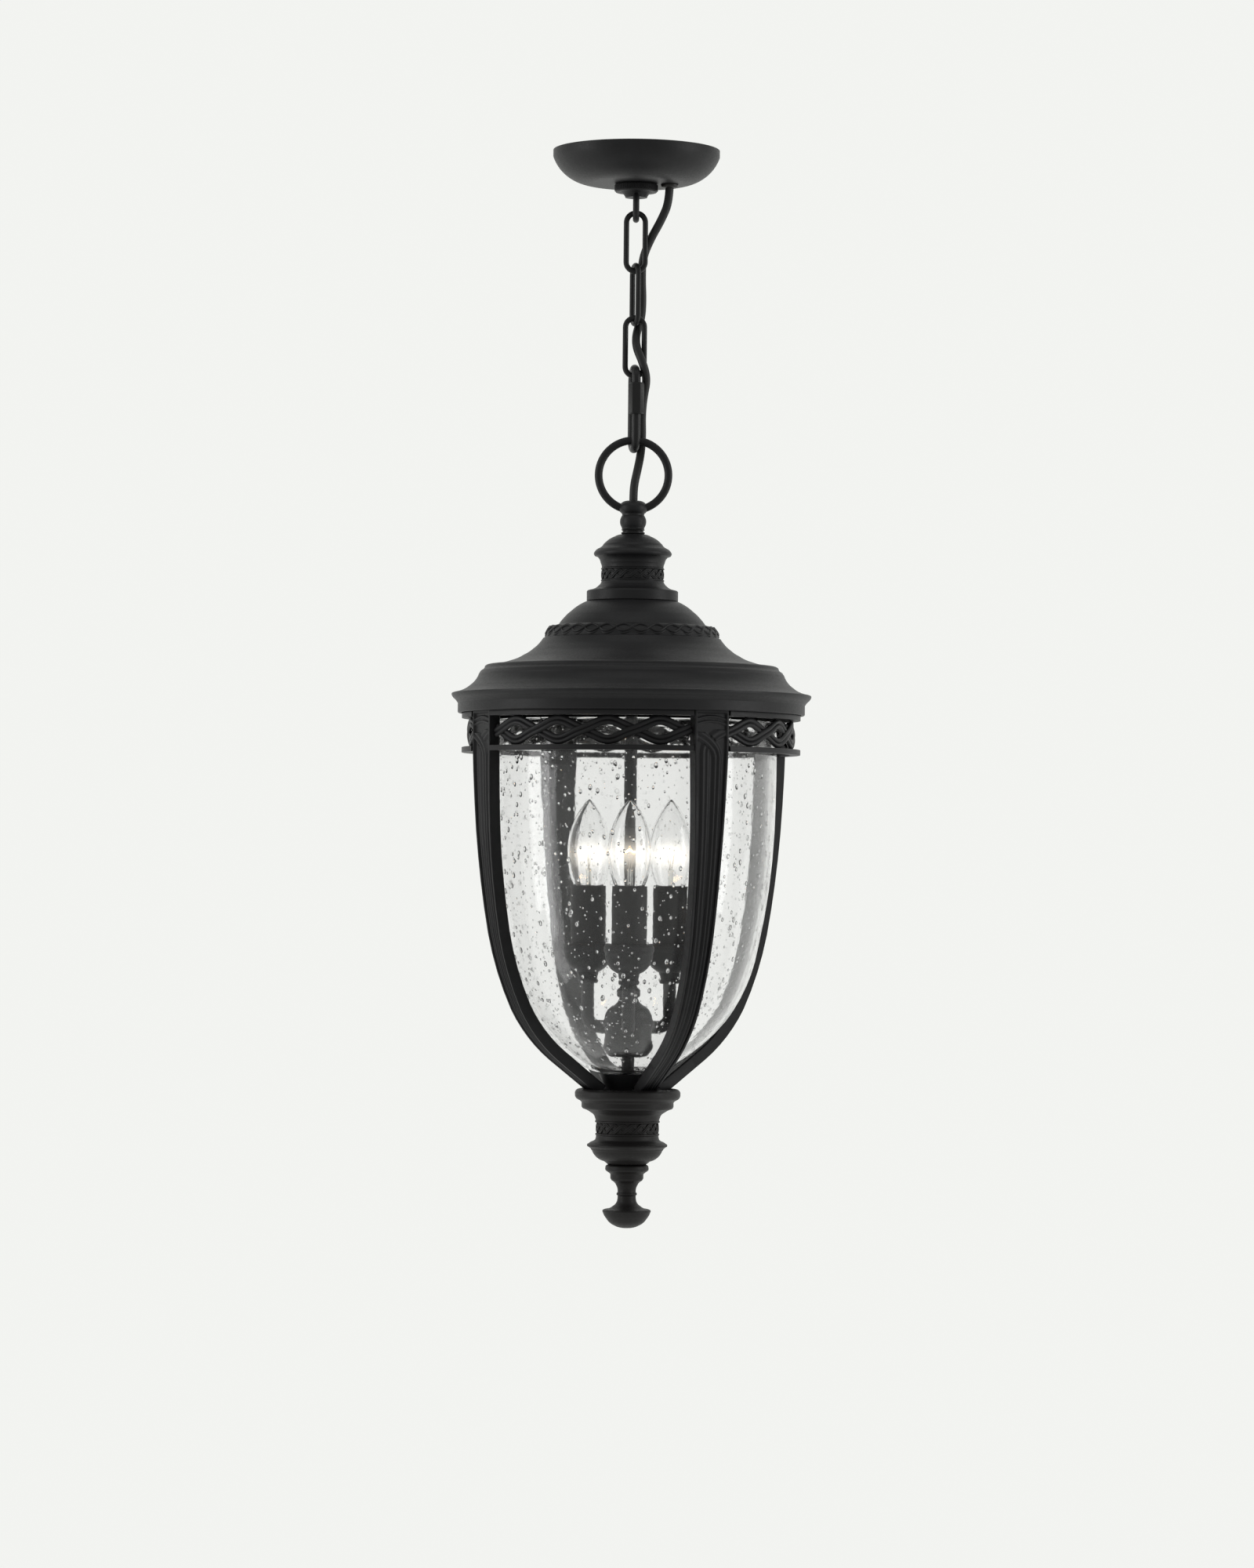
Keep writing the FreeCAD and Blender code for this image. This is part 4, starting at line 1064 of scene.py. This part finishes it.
def seed_tree():
    """Bubbles strewn through a thin sheet: flattened balls of a few sizes, drawn out up and down."""
    tree = bpy.data.node_groups.new("air_seeds", "GeometryNodeTree")
    interface(
        tree,
        [("Density", "Float"), ("Smallest", "Float"), ("Largest", "Float")]
        + [("Seed", "Int"), ("Finish", "Material")],
    )
    given = add(tree, "NodeGroupInput").outputs
    points = add(
        tree,
        "GeometryNodeDistributePointsOnFaces",
        {"Mesh": given["Geometry"], "Density": given["Density"], "Seed": given["Seed"]},
    )
    dice = add(
        tree, "FunctionNodeRandomValue", {2: 0.0, 3: 1.0, "Seed": given["Seed"]}, data_type="FLOAT"
    ).outputs[1]
    rare = add(tree, "ShaderNodeMath", {0: dice, 1: 4.0}, operation="POWER").outputs[0]
    size = add(
        tree,
        "ShaderNodeMapRange",
        {"Value": rare, "To Min": given["Smallest"], "To Max": given["Largest"]},
    ).outputs[0]
    ball = add(tree, "GeometryNodeMeshIcoSphere", {"Radius": 1.0, "Subdivisions": 2})
    tall = add(tree, "ShaderNodeMath", {0: size, 1: 1.45}, operation="MULTIPLY").outputs[0]
    thin = add(tree, "ShaderNodeMath", {0: size, 1: 0.9 * MM}, operation="MINIMUM").outputs[0]
    scale = add(tree, "ShaderNodeCombineXYZ", {0: size, 1: tall, 2: thin})
    strewn = add(
        tree,
        "GeometryNodeInstanceOnPoints",
        {
            "Points": points.outputs["Points"],
            "Instance": ball.outputs[0],
            "Rotation": points.outputs["Rotation"],
            "Scale": scale.outputs[0],
        },
    )
    real = add(tree, "GeometryNodeRealizeInstances", {0: strewn.outputs[0]})
    painted = add(tree, "GeometryNodeSetMaterial", {"Geometry": real.outputs[0], "Material": given["Finish"]})
    add(tree, "NodeGroupOutput", {0: painted.outputs[0]})
    return tree


def make_seeds():
    sheet = lathe(bell_outline(BELL_WALL / 2, 0.01), 0, 96)
    settings = {
        "Density": 10500.0,
        "Smallest": 0.42 * MM,
        "Largest": 1.7 * MM,
        "Seed": 11,
        "Finish": SEED,
    }
    bubbles = grown(seed_tree(), settings, sheet)
    piece("glass_bell_seeds", bubbles, SEED, ["glass_bell"], 180, extra=True)


make_bell()
make_seeds()
refined("bell_seat", COAT)
refined("bell_gasket", RUBBER)

# candle lamps

CANDLES = [(0.0, -37.0), (32.043, 18.5), (-32.043, 18.5)]
SLEEVE_BOTTOM, SOCKET_TOP = -620.3, -580.3
CUP_BOTTOM, BASE_HEIGHT = -649.3, 24.0

cup = [
    (5.0, 0),
    (7.2, 0),
    (8.2, 2.0, -0.1),
    (7.4, 3.6, -0.1),
    (8.4, 8.6),
    (18.6, 24.4, -0.16),
    (19.5, 26.2),
    (19.5, 29.0),
    (18.4, 31),
    (13.7, 31),
    (13.7, 29),
    (5.0, 29),
]
card = [(12.4, 0), (13.6, 0), (13.6, 47), (12.4, 47)]
base = [
    (0, 0),
    (2.2, 0),
    (2.6, 1.4),
    (5.4, 3.6),
    *[(5.5 + 0.45 * (k % 2), 4.5 + 1.55 * k) for k in range(11)],
    (5.95, 21.4),
    (5.95, 24),
    (0, 24),
]
envelope = [
    (5.0, 0),
    (6.0, 0),
    (10.2, 3.5, -0.1),
    (17.0, 34.3, -0.057),
    (0.5, 74.5, -0.096),
    (0, 74.6),
    (0, 72.6),
    (0.5, 72.6),
    (16.0, 34.3, 0.092),
    (9.2, 4.5, 0.057),
]
mount = [
    (0, 0.4),
    (4.6, 0.4),
    (4.2, 2.4),
    (2.2, 9.0, 0.1),
    (1.9, 18.0),
    (2.4, 19.2),
    (1.6, 20.4, -0.2),
    (0, 20.8),
]


def coil(ends, drop, turns, radius, steps=10):
    """A fine helix that hangs between two ends."""
    a, b = (Vector(e) for e in ends)
    along = (b - a).normalized()
    side = along.orthogonal().normalized()
    other = along.cross(side)
    points = []
    for k in range(turns * steps + 1):
        share, angle = k / (turns * steps), 2 * math.pi * k / steps
        middle = a.lerp(b, share) + Vector((0, 0, -drop * 4 * share * (1 - share)))
        points.append((middle + (side * math.cos(angle) + other * math.sin(angle)) * radius) * MM)
    return points


def make_lamp(number, x, y):
    """One candle lamp: cup, sleeve, socket and arm, and the bulb with what shows inside it."""

    def stood(name, mesh, level, material, node, crease=30, extra=False):
        return piece(name, shifted(mesh, x, y, level), material, [node], crease, extra)

    bulb, twist = f"bulb_{number}", 25 * number
    stood(f"candle_cup_{number}_casting", lathe(cup, 0.4, 96), CUP_BOTTOM, COAT, f"candle_cup_{number}")
    paper = lathe(card, 0.3, 96)
    stood(f"candle_sleeve_{number}_card", paper, SLEEVE_BOTTOM, SLEEVE, f"candle_sleeve_{number}")
    screw = lathe(base, 0.3, 64)
    stood(f"bulb_base_{number}_cap", screw, SOCKET_TOP - BASE_HEIGHT, BRASS, f"bulb_base_{number}", 60)
    stood(f"{bulb}_envelope", lathe(envelope, 0.3, 96), SOCKET_TOP, LAMP, bulb, 60)
    stood(f"{bulb}_stem", lathe(mount, 0.2, 48), SOCKET_TOP, MOUNT, bulb, 60, True)
    leads = []
    for side in (-1, 1):
        bent = [(side * 1.0, 0, 19.5), (side * 1.6, 0, 23), (side * 3.4, 0, 28), (side * 4.4, 0, 33.4)]
        leads.append(tube([Vector(p) * MM for p in bent], 0.28 * MM, 8))
    prop = [(0, 0, 20.4), (0, 0.4, 27), (0, 0.2, 35.4)]
    leads.append(tube([Vector(p) * MM for p in prop], 0.2 * MM, 8))
    wires = shifted(joined(leads), turn=twist)
    stood(f"{bulb}_leads", wires, SOCKET_TOP, NICKEL, bulb, 60, True)
    hot = []
    for ends in (((-4.4, 0, 33.2), (0, 0.2, 35.2)), ((0, 0.2, 35.2), (4.4, 0, 33.2))):
        hot.append(tube(coil(ends, 0.5, 9, 0.5), 0.16 * MM, 6))
    filament = shifted(joined(hot), turn=twist)
    stood(f"{bulb}_filament", filament, SOCKET_TOP, HOT, bulb, 60, True)
    refined(f"socket_{number}", PHENOLIC)
    refined(f"arm_{number}", COAT)


for number, (x, y) in enumerate(CANDLES, 1):
    make_lamp(number, x, y)
cluster = [
    (4.95, -705.3),
    (11.0, -705.3),
    (17.4, -701.8, -0.16),
    (19.6, -697.2, -0.1),
    (18.7, -694.8),
    (18.4, -685.0, 0.04),
    (19.6, -681.6),
    (19.9, -679.2, -0.2),
    (18.2, -675.6),
    (13.4, -667.0, -0.12),
    (7.4, -661.0, 0.1),
    (7.2, -660.0),
    (8.9, -656.2, -0.22),
    (7.0, -652.4, -0.22),
    (6.2, -650.6),
    (6.0, -643.3),
    (4.95, -643.3),
]
piece("cluster_body_casting", lathe(cluster, 0.4, 96), COAT, ["cluster_body"])
refined("centre_stem", COAT)

# holder and finial

holder = [
    (4.95, -735.5),
    (31.0, -735.5),
    (35.0, -732.4),
    (35.6, -731.2),
    (38.0, -731.0, 0.1),
    (41.0, -735.2, 0.22),
    (38.9, -739.2, 0.16),
    (37.0, -740.2),
    (35.8, -741.4),
    (35.8, -744.5),
    (34.6, -746.4, 0.1),
    (28.6, -749.4, -0.05),
    (25.3, -753.4, -0.12),
    (24.6, -755.4),
    (25.2, -756.0),
    (25.2, -757.0),
    (23.5, -757.4),
    (23.5, -765.2),
    (24.9, -765.6),
    (24.9, -766.6),
    (24.4, -767.0),
    (25.0, -770.4, -0.06),
    (27.6, -771.9, -0.06),
    (30.2, -773.6, 0.05),
    (30.2, -776.0, 0.45),
    (28.2, -777.6),
    (27.4, -778.9, 0.1),
    (17.9, -787.2, 0.13),
    (15.1, -789.5),
    (4.95, -789.5),
]
band = strands(23.6, -761.3, 2.9, 20, 0.25, BRAID_STRAND, pinch=0.05)
piece("holder_casting", joined([lathe(holder), band]), WARM_COAT, ["holder"])

finial = [
    (0, -801.5),
    (4.95, -801.5),
    (4.95, -789.5),
    (13.4, -789.6),
    (15.2, -789.9),
    (16.8, -792.2, 0.2),
    (15.6, -795.0, 0.2),
    (13.4, -796.6),
    (12.9, -797.2),
    (12.9, -800.4),
    (11.8, -802.2),
    (8.4, -805.6, -0.1),
    (7.1, -809.8, -0.06),
    (7.1, -811.4),
    (7.9, -812.2, 0.2),
    (7.9, -813.2),
    (7.1, -814.0, -0.1),
    (7.6, -818.2, -0.04),
    (10.6, -821.8, -0.09),
    (14.4, -824.0, -0.05),
    (18.4, -824.9, 0.06),
    (18.6, -826.6, 0.2),
    (15.6, -831.9, 0.05),
    (9.9, -836.9, 0.08),
    (0, -838.9, 0.08),
]
piece("finial_turned", lathe(finial, 0.35, 128), WARM_COAT, ["finial"])

# ceiling set

refined("canopy", COAT)
refined("canopy_loop", COAT)
refined("cord_bushing", PHENOLIC)
for hidden in ("crossbar", "canopy_nipple", "nipple_nut", "roof_washer", "roof_nut"):
    refined(hidden, ZINC)
refined("ground_screw", GREEN)


def knurl_tree():
    """Fine upright ridges round a ring, as a knurling wheel leaves them."""
    tree = bpy.data.node_groups.new("knurl", "GeometryNodeTree")
    interface(
        tree,
        [("Radius", "Float"), ("Height", "Float"), ("Tall", "Float"), ("Ridge", "Float")]
        + [("Count", "Int"), ("Finish", "Material")],
    )
    given = add(tree, "NodeGroupInput").outputs
    circle = add(tree, "GeometryNodeMeshCircle", {"Vertices": given["Count"], "Radius": given["Radius"]})
    ridge = add(
        tree,
        "GeometryNodeMeshCylinder",
        {"Vertices": 6, "Radius": given["Ridge"], "Depth": given["Tall"]},
    )
    rise = add(tree, "ShaderNodeCombineXYZ", {2: given["Height"]})
    raised = add(
        tree,
        "GeometryNodeTransform",
        {"Geometry": circle.outputs[0], "Translation": rise.outputs[0]},
    )
    rows = add(
        tree,
        "GeometryNodeInstanceOnPoints",
        {"Points": raised.outputs[0], "Instance": ridge.outputs[0]},
    )
    real = add(tree, "GeometryNodeRealizeInstances", {0: rows.outputs[0]})
    painted = add(tree, "GeometryNodeSetMaterial", {"Geometry": real.outputs[0], "Material": given["Finish"]})
    add(tree, "NodeGroupOutput", {0: painted.outputs[0]})
    return tree


ring = [(12.1, -26.0), (16.0, -26.0), (16.6, -27.0), (16.6, -31.5), (16.0, -32.5), (12.1, -32.5)]
knurls = {
    "Radius": 16.5 * MM,
    "Height": -29.25 * MM,
    "Tall": 4.4 * MM,
    "Ridge": 0.45 * MM,
    "Count": 90,
    "Finish": COAT,
}
knurled = joined([lathe(ring, 0.3, 96), grown(knurl_tree(), knurls)])
piece("canopy_collar_knurled", knurled, COAT, ["canopy_collar"])

for outline in (GALLERY_STRAND, BRAID_STRAND, ROPE_STRAND):
    bpy.data.objects.remove(outline)

# floor, backdrop and studio light

FLOOR_LEVEL = -1.25
PALE = "#F2F3F0"


def make_stage():
    """A pale floor that sweeps up into the backdrop behind the object."""
    material, tree, shader = surface("painted_studio_board", "#101010", 0.95, Specular_IOR_Level=0.0)
    grain(tree, shader, 4, 0.1, 0.05)
    shader.inputs["Emission Color"].default_value = linear(PALE)
    shader.inputs["Emission Strength"].default_value = 1.0
    profile = [(-0.6, FLOOR_LEVEL), (1.2, FLOOR_LEVEL)]
    profile += [
        (1.2 + 1.6 * math.sin(math.radians(a)), FLOOR_LEVEL + 1.6 * (1 - math.cos(math.radians(a))))
        for a in range(6, 91, 6)
    ]
    profile.append((2.8, 4.5))
    verts = [(x, y, z) for y, z in profile for x in (-6, 6)]
    faces = [(2 * k, 2 * k + 1, 2 * k + 3, 2 * k + 2) for k in range(len(profile) - 1)]
    mesh = bpy.data.meshes.new("studio_sweep")
    mesh.from_pydata(verts, [], faces)
    mesh.materials.append(material)
    mesh.shade_smooth()
    sweep = bpy.data.objects.new("studio_sweep", mesh)
    scene.collection.objects.link(sweep)


def soft_light(name, place, size, power, aim=(0, 0, -0.5)):
    lamp = bpy.data.lights.new(name, "AREA")
    lamp.shape = "RECTANGLE"
    lamp.size, lamp.size_y = size
    lamp.energy = power
    light = bpy.data.objects.new(name, lamp)
    scene.collection.objects.link(light)
    light.location = place
    light.rotation_euler = (Vector(aim) - Vector(place)).to_track_quat("-Z", "Y").to_euler()


def make_lights():
    world = bpy.data.worlds.new("studio_air")
    world.use_nodes = True
    background = next(n for n in world.node_tree.nodes if n.type == "BACKGROUND")
    background.inputs["Color"].default_value = linear(PALE)
    background.inputs["Strength"].default_value = 0.46
    scene.world = world
    soft_light("left_box", (-2.4, -0.6, -0.2), (0.9, 2.6), 20)
    soft_light("right_box", (2.4, -0.6, -0.2), (0.9, 2.6), 20)
    soft_light("top_box", (0.0, -0.8, 2.2), (2.4, 1.6), 8)


make_stage()
make_lights()
scene.view_settings.view_transform = "Standard"
